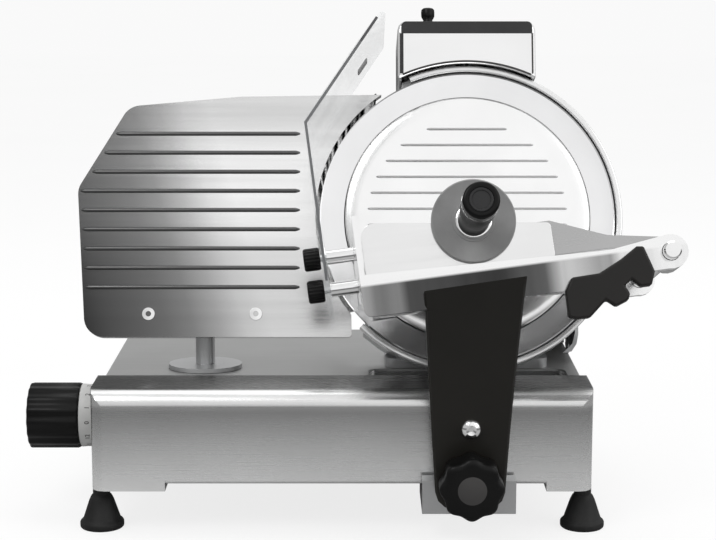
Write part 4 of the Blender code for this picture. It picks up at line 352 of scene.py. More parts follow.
def make_base():
    """Housing: satin alloy, brushed along the panel, with painted reflections: darker towards the top of the front
    panel, a painted highlight band at its rounded top edge, a dark rail top and a grey deck.
    """
    made = Surface("base_alloy", (0.80, 0.803, 0.80), 0.27, 0.92)
    facing = made.node("SeparateXYZ", {0: made.node("TexCoord").outputs["Normal"]})
    aside = made.node("Math", {0: facing.outputs[0]}, operation="ABSOLUTE").outputs[0]
    ends = made.node("MapRange", {"Value": aside, "From Min": 0.6, "From Max": 0.8}).outputs[0]
    lines = made.node("Mix", {0: ends, 2: made.noise(420.0, (0.02, 1.0, 1.0), detail=4.0),
                              3: made.noise(420.0, (1.0, 0.02, 1.0), detail=4.0)}, data_type="FLOAT").outputs[0]
    made.relief(lines, 0.05, 0.0001)
    height = made.along(2, 0.033, 0.112)
    # painted reflections by height: the panel darkens upward, its rounded top edge has a painted highlight band and
    # the rail top a dark painted reflection
    front = made.ramp(height, [(0.0, (0.97, 0.972, 0.97)), (0.20, (0.84, 0.843, 0.842)), (0.45, (0.68, 0.683, 0.682)),
                               (0.78, (0.45, 0.452, 0.451)), (0.82, (0.53, 0.532, 0.53)), (0.85, (0.76, 0.762, 0.76)),
                               (0.95, (0.80, 0.802, 0.80)), (0.99, (0.17, 0.172, 0.17))])
    # the deck behind the rail is painted a flat grey that stands for its reflection
    above = made.along(2, 0.0985, 0.0995)
    behind = made.along(1, -0.0385, -0.0360)
    deck = made.node("Math", {0: above, 1: behind}, operation="MULTIPLY").outputs[0]
    painted_reflection_tone = made.node("Mix", {"Factor": deck, 6: front, 7: (0.42, 0.422, 0.42, 1)}, data_type="RGBA").outputs[2]
    mottle = made.ramp(made.noise(20.0, detail=5.0), [(0.3, 0.97), (0.7, 1.02)])
    both = made.node("Mix", {"Factor": 1.0, 6: painted_reflection_tone, 7: mottle}, data_type="RGBA", blend_type="MULTIPLY")
    made.tree.links.new(both.outputs[2], made.shader.inputs["Base Color"])
    satin = made.node("Math", {0: made.spread(lines, 0.22, 0.30), 1: made.spread(deck, 0.0, 0.26, 0.0, 1.0)},
                      operation="ADD").outputs[0]
    made.tree.links.new(satin, made.shader.inputs["Roughness"])
    return made.material


def make_plate():
    """Gauge plate: alloy polished along its ribs, with painted reflections: dark to bright from left to right, and
    lighter a little above mid-height.
    """
    made = Surface("gauge_alloy", (0.75, 0.75, 0.75), 0.22, 1.0)
    lines = made.noise(420.0, (0.02, 1.0, 1.0), PLANE, detail=4.0)
    made.relief(lines, 0.05, 0.0001)
    made.vary_rough(lines, 0.04)
    turned_frame = PLANE @ Matrix.Rotation(math.radians(16.0), 4, "Z")
    # painted reflection: the plate runs from dark at its left to bright at its right
    across = made.along(0, -0.318, -0.118, turned_frame)
    painted_reflection_tone = made.ramp(across, [(0.0, 0.06), (0.10, 0.12), (0.22, 0.175), (0.32, 0.23), (0.42, 0.33), (0.52, 0.54),
                              (0.62, 0.82), (0.72, 0.96), (1.0, 0.98)])
    streaks = made.ramp(made.noise(60.0, (0.03, 1.0, 1.0), PLANE, detail=5.0), [(0.3, 0.90), (0.7, 1.06)])
    both = made.node("Mix", {"Factor": 1.0, 6: painted_reflection_tone, 7: streaks}, data_type="RGBA", blend_type="MULTIPLY")
    # painted reflection: lighter a little above mid-height, darker towards the top and bottom edges
    high = made.ramp(made.along(1, -0.105, 0.105, PLANE), [(0.0, 0.70), (0.25, 0.72), (0.55, 0.98), (0.75, 0.96),
                                                           (0.92, 0.74), (1.0, 0.72)])
    both = made.node("Mix", {"Factor": 1.0, 6: both.outputs[2], 7: high}, data_type="RGBA", blend_type="MULTIPLY")
    made.tree.links.new(both.outputs[2], made.shader.inputs["Base Color"])
    return made.material


def make_tray():
    """Polished tray; its front apron carries painted dark reflections, broken into upright streaks."""
    made = Surface("tray_alloy", (0.93, 0.93, 0.93), 0.16, 1.0)
    lines = made.noise(420.0, (0.02, 1.0, 1.0), ROLLED, detail=4.0)
    made.relief(lines, 0.04, 0.0001)
    made.vary_rough(lines, 0.03)
    # mask of the front apron, where dark reflections are painted
    forward = made.along(2, 0.1606, 0.1612, ROLLED)
    below = made.along(1, -0.0588, -0.0606, ROLLED)
    above = made.along(1, -0.0855, -0.0840, ROLLED)
    front = made.node("Math", {0: forward, 1: below}, operation="MULTIPLY").outputs[0]
    front = made.node("Math", {0: front, 1: above}, operation="MULTIPLY").outputs[0]
    across = made.along(0, -0.095, 0.094, ROLLED)
    # painted reflections across the apron: darkest from left of the arm to its right side, lighter at both ends
    shade = made.ramp(across, [(0.0, 0.36), (0.05, 0.20), (0.14, 0.24), (0.175, 0.07), (0.50, 0.05), (0.70, 0.12),
                               (0.76, 0.50), (0.95, 0.34), (1.0, 0.90)])
    # upright streaks break up the painted dark reflection
    streaks = made.ramp(made.noise(40.0, (1.0, 0.05, 1.0), ROLLED, detail=3.0), [(0.3, 0.75), (0.7, 1.25)])
    dark = made.node("Mix", {"Factor": 1.0, 6: shade, 7: streaks}, data_type="RGBA", blend_type="MULTIPLY")
    bright = made.ramp(made.noise(9.0, detail=3.0), [(0.3, 0.91), (0.7, 0.95)])
    both = made.node("Mix", {"Factor": front, 6: bright, 7: dark.outputs[2]}, data_type="RGBA")
    made.tree.links.new(both.outputs[2], made.shader.inputs["Base Color"])
    return made.material


BASE_ALLOY = make_base()
PLATE_ALLOY = make_plate()
TRAY_ALLOY = make_tray()
# gauge plate ribs: the plate's alloy painted dark, as painted shade for the shadow lines of the ribs
RIB_PAINTED_SHADE = make_brushed("rib_alloy", (0.12, 0.12, 0.12), 0.34, (0.05, 1, 1), PLANE)
CAST = make_cast("cast_alloy", (0.55, 0.555, 0.56), 0.36)
BLADE_STEEL = make_turned("blade_steel", (0.88, 0.88, 0.885), 0.18, TILT)
COVER_ALLOY = make_turned("cover_alloy", (0.97, 0.97, 0.97), 0.18, TILT, 0.06)
# blade cover ribs: darker than the cover, as painted shade for the shadowed sides of the ribs
COVER_RIB_PAINTED_SHADE = make_brushed("cover_rib_alloy", (0.45, 0.45, 0.45), 0.30, (0.05, 1, 1), TILT)
RING_ALLOY = make_turned("ring_alloy", (0.90, 0.90, 0.90), 0.20, TILT, 0.05, metal=0.7)
POLISHED = make_brushed("polished_alloy", (0.90, 0.90, 0.90), 0.17, (0.06, 1, 1), ROLLED, strength=0.05)
PRESS_ALLOY = make_brushed("press_alloy", (0.86, 0.86, 0.86), 0.20, (0.06, 1, 1), ROLLED, strength=0.05)
STEEL = make_brushed("ground_steel", (0.66, 0.67, 0.68), 0.22, (0.05, 1, 1))
CHROME = make_cast("bright_chrome", (0.90, 0.90, 0.90), 0.07, 1.0)
STAINLESS = make_brushed("brushed_stainless", (0.70, 0.70, 0.70), 0.24, (1, 1, 0.05))
BLACK_PAINT = make_paint("black_enamel", (0.013, 0.012, 0.010), 0.34)
BLACK = make_plastic("black_plastic", (0.005, 0.005, 0.005), 0.34, coat=0.03, shine=0.16)
DARK = make_plastic("dark_plastic", (0.055, 0.053, 0.052), 0.42)
GREY = make_plastic("grey_plastic", (0.30, 0.30, 0.30), 0.42)
CLAMP = make_paint("clamp_enamel", (0.016, 0.015, 0.014), 0.40)
CAP = make_plastic("cap_plastic", (0.030, 0.030, 0.031), 0.30)
# press arm: a darker copy of the press plate's alloy, painted shade for the arm lying in shadow
PRESS_ARM_PAINTED_SHADE = make_brushed("press_arm_alloy", (0.46, 0.46, 0.46), 0.26, (0.06, 1, 1), ROLLED, strength=0.05)
DIAL = make_plastic("dial_plastic", (0.62, 0.62, 0.61), 0.40)
# dark strip on the clear sheet's edge: painted dark line that stands in for refraction at the edge
RIM = make_plastic("acrylic_edge", (0.10, 0.10, 0.105), 0.30)
# dark strips on the sharpener's cover: the top one, and the left one, which is painted shade of a rounded corner
EDGE = make_plastic("dark_edge", (0.035, 0.035, 0.036), 0.35)
RUBBER = make_rubber("foot_rubber")
CLEAR = make_clear("clear_acrylic")
STONE_ROUGH = make_stone("grinding_stone_grit", (0.24, 0.20, 0.17))
STONE_FINE = make_stone("honing_stone_grit", (0.55, 0.53, 0.50))
RED = make_plastic("red_key", (0.42, 0.02, 0.02), 0.36)
GREEN = make_plastic("green_key", (0.02, 0.24, 0.06), 0.36)

KEPT = {
    "base_housing": (BASE_ALLOY, 0), "bottom_plate": (STAINLESS, 0.0004), "guide_bar": (STEEL, 0.0006),
    "switch_bezel": (BLACK, 0.0006), "hub_pin": (STEEL, 0), "hub_bearing": (STEEL, 0),
    "blade_housing": (CAST, 0.0008), "motor": (DARK, 0.0006), "motor_rotor": (STEEL, 0), "drive_belt": (RUBBER, 0),
    "motor_cover": (CAST, 0.0010), "slice_deflector": (STAINLESS, 0.0004), "sharpener_bracket": (CAST, 0.0006),
    "gauge_guide_bracket": (STEEL, 0.0005), "gauge_bracket": (CAST, 0.0008), "gauge_slider": (STEEL, 0.0005),
    "index_shaft_and_cam": (STEEL, 0), "slide_block": (CAST, 0.0008), "carriage_arm": (BLACK_PAINT, 0.0008),
    "tray": (TRAY_ALLOY, 0.0006), "rod_clamp": (CLAMP, 0.0008), "guard_sheet": (CLEAR, 0.0005),
    "press_arm": (PRESS_ARM_PAINTED_SHADE, 0.0008), "press_plate": (PRESS_ALLOY, 0.0003), "sharpener_cover": (POLISHED, 0.0010),
    "blade_pulley": (CAST, 0), "cover_tie_rod": (BLACK, 0), "sharpener_post": (STEEL, 0),
    "grinding_button": (BLACK, 0), "honing_button": (BLACK, 0), "grinding_stone": (STONE_ROUGH, 0),
    "honing_stone": (STONE_FINE, 0), "switch_off_button": (RED, 0.0006), "switch_on_button": (GREEN, 0.0006),
    "guide_roller": (STEEL, 0), "lock_spindle": (STEEL, 0), "press_sleeve": (DIAL, 0),
    "carriage_rod": (STEEL, 0), "gauge_guide_rod": (STEEL, 0), "press_rod": (CHROME, 0),
    "cable_gland": (BLACK, 0), "guard_spacer_upper": (CHROME, 0), "guard_spacer_lower": (CHROME, 0),
}


def dress_frame():
    """Give the nodes that stay in view their surface, with soft edges where they are cut sharp."""
    for name, (material, edge) in KEPT.items():
        item = NODES[name]
        item.data.materials.clear()
        item.data.materials.append(material)
        weld = item.modifiers.new("weld", "WELD")
        weld.merge_threshold = 0.00001
        flat = item.modifiers.new("flat", "DECIMATE")
        flat.decimate_type = "DISSOLVE"
        flat.angle_limit = math.radians(0.5)
        if edge:
            soften(item, edge)
        item.data.shade_smooth()
        crease = item.modifiers.new("crease", "EDGE_SPLIT")
        crease.split_angle = math.radians(32)
        even_shading(item)


# Blade group, in the tilted frame

def blade_parts():
    profile = [(0.1190, 0.0), (0.1180, -0.00035), (0.1128, -0.0009), (0.1070, -0.00122), (0.1025, -0.00125),
               (0.0995, -0.0013), (0.0985, -0.0022), (0.0948, -0.0062), (0.0935, -0.0065), (0.018, -0.0065),
               (0.018, -0.0107), (0.0955, -0.0098), (0.107, -0.00345), (0.11895, -0.0003)]
    solid("blade_disc", turned(profile, 160), BLADE_STEEL, "blade", TILT, ["blade"], sharp=12)
    for i in range(4):
        angle = math.tau * (i + 0.5) / 4
        head = turned([(0, -0.0064), (0.0062, -0.0064), (0.0058, -0.0052), (0.0028, -0.0050), (0.0026, -0.0058),
                       (0, -0.0058)], 24)
        solid(f"blade_screw_{i}", moved(head, 0.030 * math.cos(angle), 0.030 * math.sin(angle)), STEEL, "blade",
              TILT)


def cover_disc():
    profile = [(0, 0.0030), (0.0870, 0.0030), (0.0936, 0.0029), (0.0976, 0.0017), (0.0984, 0.0010),
               (0.0986, 0.0006), (0.0982, -0.0002), (0.0936, -0.0024), (0.010, -0.0024), (0.010, -0.0109),
               (0.0044, -0.0109), (0.0044, -0.0026), (0, -0.0026)]
    solid("cover_disc", turned(profile, 160), COVER_ALLOY, "machine", TILT, ["blade_cover"], sharp=20)
    ribs = []
    for i in range(-6, 6):
        y = (i + 0.5) * 0.0131
        reach = math.sqrt(0.078 ** 2 - y ** 2) + 0.0026
        ribs.append(ridge(-reach, reach, y, 0.0022, 0.0029, 0.0040))
    solid("cover_ribs", merged(*ribs), COVER_RIB_PAINTED_SHADE, "machine", TILT, sharp=50)


def ridge(left, right, y, width, low, high):
    """Long rib with a round back and tapered ends."""
    bm = bmesh.new()
    steps = 6
    rows = []
    half = width / 2
    for x, size in ((left, 0.15), (left + half, 0.75), (left + width, 1.0), (right - width, 1.0),
                    (right - half, 0.75), (right, 0.15)):
        row = []
        for i in range(steps + 1):
            angle = math.pi * i / steps
            row.append(bm.verts.new((x, y - half * math.cos(angle) * max(size, 0.4),
                                     low + (high - low) * math.sin(angle) * size)))
        rows.append(row)
    for a, b in zip(rows, rows[1:]):
        for i in range(steps):
            bm.faces.new((a[i], a[i + 1], b[i + 1], b[i]))
        bm.faces.new((a[steps], a[0], b[0], b[steps]))
    bm.faces.new(rows[0])
    bm.faces.new(list(reversed(rows[-1])))
    return bm


def ring_guard():
    start = math.radians(-134)
    end = math.radians(112)
    steps = 150
    section = rounded([(0.1202, -0.0100, 0), (0.1250, -0.0100, 0.0004), (0.1250, 0.0025, 0.0012),
                       (0.1202, 0.0025, 0.0012)], math.radians(22))
    bm = bmesh.new()
    rows = []
    for i in range(steps + 1):
        angle = start + (end - start) * i / steps
        rows.append([bm.verts.new((r * math.cos(angle), r * math.sin(angle), z)) for r, z in section])
    count = len(section)
    for a, b in zip(rows, rows[1:]):
        for i in range(count):
            bm.faces.new((a[i], a[(i + 1) % count], b[(i + 1) % count], b[i]))
    bm.faces.new(list(reversed(rows[0])))
    bm.faces.new(rows[-1])
    solid("ring_band", bm, RING_ALLOY, "machine", TILT, ["ring_guard"])


# Gauge plate, in the tilted frame

def gauge_left_edge(y):
    (x0, y0), (x1, y1), (x2, y2) = (-0.3066, -0.0906), (-0.3147, 0.0299), (-0.2742, 0.0979)
    if y < y1:
        return x0 + (x1 - x0) * (y - y0) / (y1 - y0)
    return x1 + (x2 - x1) * (y - y1) / (y2 - y1)


def gauge_plate():
    reach = 0.1225
    rise = 0.0065
    edge = -0.0935
    high_x = -math.sqrt(reach ** 2 - (0.1076 - rise) ** 2)
    start = math.atan2(-math.sqrt(reach ** 2 - edge ** 2), edge) + math.tau
    end = math.atan2(0.1076 - rise, high_x)
    left = rounded([(edge, -0.0906, 0.003), (high_x, 0.1076, 0), (-0.1836, 0.1060, 0.040), (-0.2742, 0.0979, 0.016),
                    (-0.3147, 0.0299, 0.016), (-0.3066, -0.0906, 0.016)])
    turn = next(i for i, (x, y) in enumerate(left) if (x, y) == (high_x, 0.1076))
    outline = left[turn + 1:] + left[:turn] + arc(0, rise, reach, start, end, 90)
    front = 0.0008
    back = front - 0.0100
    bm = extruded(outline, back, front)
    face = min(bm.faces, key=lambda f: (round(f.calc_center_median().z, 6), -f.calc_area()))
    bmesh.ops.inset_region(bm, faces=[face], thickness=0.0042)
    bmesh.ops.translate(bm, verts=list(face.verts), vec=(0, 0, 0.0100 - 0.0042))
    ribs = []
    for i in range(9):
        y = 0.0752 - i * 0.0157
        ribs.append(ridge(gauge_left_edge(y + 0.0018) + 0.0022, -0.1350, y, 0.0036, front - 0.0001, front + 0.0013))
    plate = solid("gauge_face", bm, PLATE_ALLOY, "gauge", PLANE, ["gauge_plate"], edge=0.0007)
    solid("gauge_ribs", merged(*ribs), RIB_PAINTED_SHADE, "gauge", PLANE, sharp=50)
    for word, x in (("left", -0.2560), ("right", -0.1700)):
        profile = [(0, front - 0.0110), (0.0028, front - 0.0110), (0.0028, front - 0.0024), (0.0052, front + 0.0001),
                   (0.0050, front + 0.0006), (0.0022, front + 0.0008), (0.0020, front - 0.0010), (0, front - 0.0010)]
        solid(f"gauge_screw_{word}", moved(turned(profile, 32), x, -0.0720), CHROME, "gauge", PLANE)
    return plate


# Knobs, feet and dial

def feet():
    profile = [(0, 0.0), (0.0158, 0.0), (0.0166, 0.0008), (0.0168, 0.0018), (0.0168, 0.0042), (0.0163, 0.0052),
               (0.0148, 0.0066), (0.0142, 0.0074), (0.0095, 0.0215), (0.0078, 0.0250), (0.0066, 0.0262),
               (0.0066, 0.0332), (0, 0.0332)]
    for depth, y in (("front", 0.020), ("rear", 0.263)):
        for side, x in (("left", -0.1842), ("right", 0.1842)):
            node = f"foot_{depth}_{side}"
            solid(f"{node}_cone", moved(turned(profile, 64), x, y), RUBBER, "machine", BASE, [node])


def index_control():
    place = BASE @ Matrix.Translation((0, 0.068, 0.0755)) @ ALONG_X
    levels = [(0.0016, -0.2448), (0.0005, -0.2442), (0.0, -0.2430), (0.0, -0.2068), (0.0004, -0.2056),
              (0.0012, -0.2048)]
    bm = layered(lobed(0.0258, 0.0011, 16, 12), levels)
    solid("index_grip", bm, BLACK, "index", place, ["index_knob"], sharp=40)
    cap = turned([(0, -0.24479), (0.0150, -0.24479), (0.0160, -0.2446), (0.0160, -0.2440), (0, -0.2440)], 64)
    solid("index_cap", cap, DARK, "index", place)
    profile = [(0.0062, -0.2045), (0.0242, -0.2045), (0.0248, -0.2040), (0.0247, -0.2030), (0.0236, -0.1904),
               (0.0232, -0.1898), (0.0062, -0.1898)]
    solid("index_scale", turned(profile, 96), DIAL, "index", place, ["index_dial"])
    marks = []
    for i in range(25):
        angle = math.radians(90 - i * 13.75)
        long = 0.0042 if i % 2 == 0 else 0.0024
        bar = extruded([(-0.00022, 0), (0.00022, 0), (0.00022, long), (-0.00022, long)], 0, 0.0002)
        bar.transform(Matrix.Rotation(angle, 4, "X") @ Matrix.Translation((-0.1903, 0, 0.02352))
                      @ Matrix.Rotation(math.radians(90), 4, "Z") @ Matrix.Rotation(math.radians(-5), 4, "X"))
        marks.append(bar)
    solid("index_marks", merged(*marks), BLACK, "index", BASE @ Matrix.Translation((0, 0.068, 0.0755)))


def lettering(text, size, depth):
    curve = bpy.data.curves.new("text", "FONT")
    curve.body = text
    curve.size = size
    curve.align_x = "CENTER"
    curve.align_y = "CENTER"
    curve.extrude = depth
    curve.resolution_u = 3
    holder = bpy.data.objects.new("text", curve)
    bpy.context.collection.objects.link(holder)
    bpy.context.view_layer.update()
    mesh = bpy.data.meshes.new_from_object(holder.evaluated_get(bpy.context.evaluated_depsgraph_get()))
    bm = bmesh.new()
    bm.from_mesh(mesh)
    bpy.data.meshes.remove(mesh)
    bpy.data.objects.remove(holder)
    bpy.data.curves.remove(curve)
    return bm


def index_numbers():
    numbers = []
    for i in range(13):
        bm = lettering(str(i), 0.0052, 0.0001)
        angle = math.radians(90 - i * 27.5)
        bm.transform(Matrix.Rotation(angle, 4, "X") @ Matrix.Translation((-0.1978, 0, 0.02423))
                     @ Matrix.Rotation(math.radians(5), 4, "Y") @ Matrix.Rotation(math.radians(90), 4, "Z"))
        numbers.append(bm)
    solid("index_numbers", merged(*numbers), BLACK, "index", BASE @ Matrix.Translation((0, 0.068, 0.0755)))


def lock_control():
    """Lobed clamp knob: its Y runs from the front face (0) to the arm (0.025)."""
    place = Matrix.Translation((0.092978, -0.151054, 0.051)) @ ALONG_Y
    levels = [(0.0042, 0.0), (0.0018, 0.0006), (0.0004, 0.0018), (0.0, 0.0034), (0.0, 0.0205), (0.0006, 0.0228),
              (0.0022, 0.0246), (0.0040, 0.0250)]
    bm = layered(lobed(0.0238, 0.0022, 8, 18), levels)
    solid("lock_grip", bm, BLACK, "lock", place, ["lock_knob"], sharp=40)
    cap = turned([(0, -0.00005), (0.0105, -0.00005), (0.0112, 0.0003), (0.0112, 0.0008), (0, 0.0008)], 48)
    solid("lock_cap", cap, DARK, "lock", place)
    bolt = [(0, 0.0012), (0.0022, 0.0012), (0.0024, -0.0016), (0.0038, -0.0020), (0.0058, -0.0012), (0.0071, 0.0003),
            (0.0076, 0.0022), (0.0076, 0.0034), (0.0032, 0.0034), (0.0032, 0.0060), (0, 0.0060)]
    solid("arm_bolt", turned(bolt, 48), CHROME, "carriage", Matrix.Translation((0.092978, -0.1295, 0.091)) @ ALONG_Y)


def press_parts():
    at = ROLLED @ Matrix.Translation((-0.0080, -0.0221, 0))
    disc = [(0.0048, 0.1563), (0.0290, 0.1563), (0.0303, 0.1567), (0.0307, 0.1575), (0.0307, 0.1586),
            (0.0303, 0.1594), (0.0296, 0.1598), (0.0285, 0.1594), (0.0155, 0.1592), (0.0150, 0.1598),
            (0.0048, 0.1598)]
    solid("guard_disc", turned(disc, 96), GREY, "press", at, ["hand_guard"])
    s = 0.1601
    grip = [(0, 0.1566), (0.0045, 0.1566), (0.0045, s), (0.0098, s), (0.0110, s + 0.0006), (0.0113, s + 0.0016),
            (0.0106, s + 0.0040), (0.0101, s + 0.0085), (0.0102, s + 0.0150), (0.0112, s + 0.0260),
            (0.0122, s + 0.0380), (0.0126, s + 0.0480), (0.0124, s + 0.0580), (0.0118, s + 0.0660),
            (0.0118, s + 0.0700), (0.0125, s + 0.0760), (0.0129, s + 0.0800), (0.0130, s + 0.0830),
            (0.0126, s + 0.0850), (0.0117, s + 0.0859), (0.0100, s + 0.0860), (0.0088, s + 0.0858),
            (0.0088, s + 0.0838), (0, s + 0.0838)]
    solid("grip", turned(grip, 72), BLACK, "press", at, ["press_grip"], sharp=50)
    cap = [(0, s + 0.0839), (0.0085, s + 0.0839), (0.0085, s + 0.0854), (0.0078, s + 0.0859), (0.0066, s + 0.0857),
           (0.0063, s + 0.0850), (0, s + 0.0852)]
    solid("grip_cap", turned(cap, 48), CAP, "press", at)
    band = [(0.0120, s + 0.0705), (0.0124, s + 0.0705), (0.0130, s + 0.0712), (0.0131, s + 0.0726),
            (0.0128, s + 0.0733), (0.0120, s + 0.0733)]
    solid("grip_band", turned(band, 72), CHROME, "press", at)
    collar = [(0.0046, 0.1598), (0.0125, 0.1598), (0.0130, 0.1602), (0.0131, 0.1612), (0.0124, 0.1616),
              (0.0114, 0.1616), (0.0112, 0.1602), (0.0046, 0.1602)]
    solid("grip_collar", turned(collar, 64), CHROME, "press", at)


def guard_parts():
    for word, y in (("upper", -0.0230), ("lower", -0.0478)):
        face = -0.1208
        head = layered(lobed(0.0088, 0.0005, 20, 6), [(0.0014, face - 0.0130), (0.0003, face - 0.0122),
                                                      (0.0, face - 0.0112), (0.0, face - 0.0016),
                                                      (0.0010, face - 0.0003)])
        shaft = turned([(0, face - 0.0006), (0.0024, face - 0.0006), (0.0024, -0.0912), (0, -0.0912)], 24)
        place = ROLLED @ Matrix.Translation((0, y, 0.0800)) @ ALONG_X
        solid(f"thumb_head_{word}", head, BLACK, f"guard_screw_{word}", place, [f"guard_thumb_screw_{word}"],
              sharp=40)
        solid(f"thumb_shaft_{word}", shaft, STEEL, f"guard_screw_{word}", place)


def guard_edges():
    """A dark strip painted along the clear sheet's cut front edge, standing in for the dark line that edge shows by
    refraction, and the clip on its bent part.
    """
    path = [(-0.1185, -0.0470), (-0.1185, 0.0724), (-0.0492, 0.1519)]
    half = 0.0010
    lean = Vector((path[2][0] - path[1][0], path[2][1] - path[1][1])).normalized()
    out = Vector((-lean.y, lean.x))
    outline = [(path[0][0] - half, path[0][1]), (path[0][0] + half, path[0][1]),
               (path[1][0] + half, path[1][1] - half / 2),
               (path[2][0] - out.x * half - lean.x * 0.009, path[2][1] - out.y * half - lean.y * 0.009),
               (path[2][0] + out.x * half - lean.x * 0.009, path[2][1] + out.y * half - lean.y * 0.009),
               (path[1][0] - half, path[1][1] + half / 2)]
    solid("guard_rim", extruded(outline, 0.1290, 0.1299), RIM, "carriage", ROLLED)
    at = Vector(path[1]) + lean * 0.073 - out * 0.0021
    place = ROLLED @ Matrix.Translation((at.x, at.y, 0.062)) @ Matrix.Rotation(math.atan2(lean.y, lean.x), 4, "Z")
    clip = extruded(rounded([(-0.006, -0.0012, 0.0004), (0.006, -0.0012, 0.0004), (0.006, 0, 0), (-0.006, 0, 0)]),
                    -0.007, 0.007)
    solid("guard_clip", clip, GREY, "carriage", place, edge=0.0002)


def sharpener_trim():
    """Dark strip along the top of the sharpener's cover; the dark strips down its sides are painted shade of its
    rounded corners, and the dark arc along its lower edge is painted shadow above the ring guard.
    """
    low = 0.0098
    top = extruded(rounded([(-0.0530, 0.1500, 0.0008), (0.0535, 0.1500, 0.0008), (0.0535, 0.1600, 0.0040),
                            (-0.0530, 0.1600, 0.0040)]), low, 0.0105)
    # side strips: painted shade of the cover's rounded corners
    left = extruded([(-0.0542, 0.1165), (-0.0512, 0.1165), (-0.0512, 0.1502), (-0.0542, 0.1502)], low, 0.0103)
    right = extruded([(0.0528, 0.1165), (0.0542, 0.1165), (0.0542, 0.1502), (0.0528, 0.1502)], low, 0.0103)
    # dark arc along the lower edge: painted shadow above the ring guard
    reach = math.acos(0.0520 / 0.1268)
    arc_shadow = extruded(arc(0, 0, 0.1260, reach, math.pi - reach, 48) + arc(0, 0, 0.1276, math.pi - reach, reach, 48),
                    low, 0.0103)
    solid("sharpener_strip", merged(top, left), EDGE, "sharpener", TILT, edge=0.0002)
    solid("sharpener_side_and_arc_shade", merged(right, arc_shadow), DARK, "sharpener", TILT)


def sharpener_parts():
    profile = [(0, 0.1605), (0.0022, 0.1605), (0.0022, 0.1612), (0.0040, 0.1613), (0.0038, 0.1638),
               (0.0048, 0.1654), (0.0054, 0.1668), (0.0055, 0.1700), (0.0053, 0.1721), (0.0044, 0.1731),
               (0.0030, 0.1733), (0, 0.1733)]
    place = TILT @ Matrix.Translation((-0.0310, 0, 0)) @ ALONG_Y
    solid("sharpener_pull", turned(profile, 48), BLACK, "sharpener_screw", place, ["sharpener_knob"])


def world_background(tree, colour, strength):
    item = tree.nodes.new("ShaderNodeBackground")
    item.inputs["Strength"].default_value = strength
    if isinstance(colour, bpy.types.NodeSocket):
        tree.links.new(colour, item.inputs["Color"])
    else:
        item.inputs["Color"].default_value = (*colour, 1)
    return item.outputs[0]


def world_mix(tree, factor, first, second):
    item = tree.nodes.new("ShaderNodeMixShader")
    for socket, source in zip(item.inputs, (factor, first, second)):
        tree.links.new(source, socket)
    return item.outputs[0]


def world_light():
    """White to the camera, even to matt surfaces; to shiny ones bright above and dark near the horizon."""
    world = bpy.data.worlds.new("studio")
    bpy.context.scene.world = world
    world.use_nodes = True
    tree = world.node_tree
    tree.nodes.clear()
    ray = tree.nodes.new("ShaderNodeLightPath")
    where = tree.nodes.new("ShaderNodeTexCoord")
    parts = tree.nodes.new("ShaderNodeSeparateXYZ")
    tree.links.new(where.outputs["Generated"], parts.inputs[0])
    sides = tree.nodes.new("ShaderNodeMapRange")
    for word, value in (("From Min", -0.45), ("From Max", 0.0), ("To Min", 0.55), ("To Max", 1.0)):
        sides.inputs[word].default_value = value
    tree.links.new(parts.outputs[0], sides.inputs["Value"])
    back = tree.nodes.new("ShaderNodeMath")
    back.operation = "MAXIMUM"
    tree.links.new(parts.outputs[1], back.inputs[0])
    back.inputs[1].default_value = 0.0
    lower = tree.nodes.new("ShaderNodeMath")
    lower.operation = "MULTIPLY_ADD"
    tree.links.new(back.outputs[0], lower.inputs[0])
    lower.inputs[1].default_value = -0.25
    tree.links.new(parts.outputs[2], lower.inputs[2])
    rise = tree.nodes.new("ShaderNodeMapRange")
    for word, value in (("From Min", -0.02), ("From Max", 0.12), ("To Min", 0.30), ("To Max", 1.0)):
        rise.inputs[word].default_value = value
    tree.links.new(lower.outputs[0], rise.inputs["Value"])
    both = tree.nodes.new("ShaderNodeMath")
    both.operation = "MULTIPLY"
    tree.links.new(sides.outputs[0], both.inputs[0])
    tree.links.new(rise.outputs[0], both.inputs[1])
    lit = world_background(tree, (1, 1, 1), 0.66)
    mirror = world_background(tree, both.outputs[0], 0.96)
    seen = world_background(tree, (0.95, 0.95, 0.95), 1.0)
    shiny = world_mix(tree, ray.outputs["Is Glossy Ray"], lit, mirror)
    clear = tree.nodes.new("ShaderNodeMath")
    clear.operation = "MAXIMUM"
    tree.links.new(ray.outputs["Is Camera Ray"], clear.inputs[0])
    tree.links.new(ray.outputs["Is Transmission Ray"], clear.inputs[1])
    out = tree.nodes.new("ShaderNodeOutputWorld")
    tree.links.new(world_mix(tree, clear.outputs[0], shiny, seen), out.inputs["Surface"])


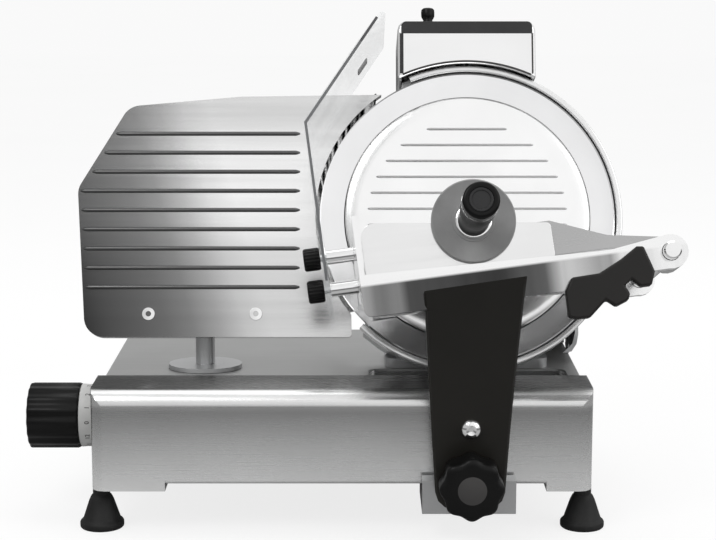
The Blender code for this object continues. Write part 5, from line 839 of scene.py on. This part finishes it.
def stage_and_light():
    floor_mesh = bpy.data.meshes.new("floor")
    floor_mesh.from_pydata([(-6, -6, 0), (6, -6, 0), (6, 6, 0), (-6, 6, 0)], [], [(0, 1, 2, 3)])
    floor = bpy.data.objects.new("floor", floor_mesh)
    bpy.context.collection.objects.link(floor)
    made = Surface("floor_paper", (0.95, 0.95, 0.95), 0.9, Specular_IOR_Level=0.0)
    far = made.node("VectorMath", {0: made.place}, operation="LENGTH").outputs["Value"]
    away = made.node("MapRange", {"Value": far, "From Min": 0.30, "From Max": 0.85}).outputs[0]
    bounce = made.ramp(away, [(0.0, 0.52), (1.0, 0.16)])
    paper = made.ramp(made.noise(3.0), [(0.3, 0.215), (0.7, 0.225)])
    seen = made.node("LightPath").outputs["Is Camera Ray"]
    both = made.node("Mix", {"Factor": seen, 6: bounce, 7: paper}, data_type="RGBA")
    made.tree.links.new(both.outputs[2], made.shader.inputs["Base Color"])
    made.set("Emission Color", (1, 1, 1, 1))
    glow = made.node("Math", {0: seen, 1: 0.80}, operation="MULTIPLY").outputs[0]
    made.tree.links.new(glow, made.shader.inputs["Emission Strength"])
    floor_mesh.materials.append(made.material)
    world_light()
    for name, place, size, power in (("key", (-0.9, -1.2, 1.6), 0.9, 9.0), ("fill", (1.3, -0.7, 0.9), 1.0, 4.0),
                                     ("top", (0.1, 0.5, 1.7), 1.2, 6.0)):
        lamp = bpy.data.lights.new(name, "AREA")
        lamp.energy = power
        lamp.size = size
        holder = bpy.data.objects.new(name, lamp)
        holder.location = place
        aim = Vector((0.0, 0.0, 0.18)) - Vector(place)
        holder.rotation_euler = aim.to_track_quat("-Z", "Y").to_euler()
        bpy.context.collection.objects.link(holder)


def camera():
    data = bpy.data.cameras.new("photo_view")
    data.sensor_width = 36
    data.lens = 93.22
    item = bpy.data.objects.new("photo_view", data)
    item.location = (0.0102, -1.4425, 0.4412)
    item.rotation_euler = (math.radians(80), 0, 0)
    bpy.context.collection.objects.link(item)
    bpy.context.scene.camera = item


dress_frame()
blade_parts()
cover_disc()
ring_guard()
gauge_plate()
feet()
index_control()
index_numbers()
lock_control()
press_parts()
guard_parts()
guard_edges()
sharpener_parts()
sharpener_trim()
stage_and_light()
camera()
bpy.context.scene.view_settings.view_transform = "Standard"
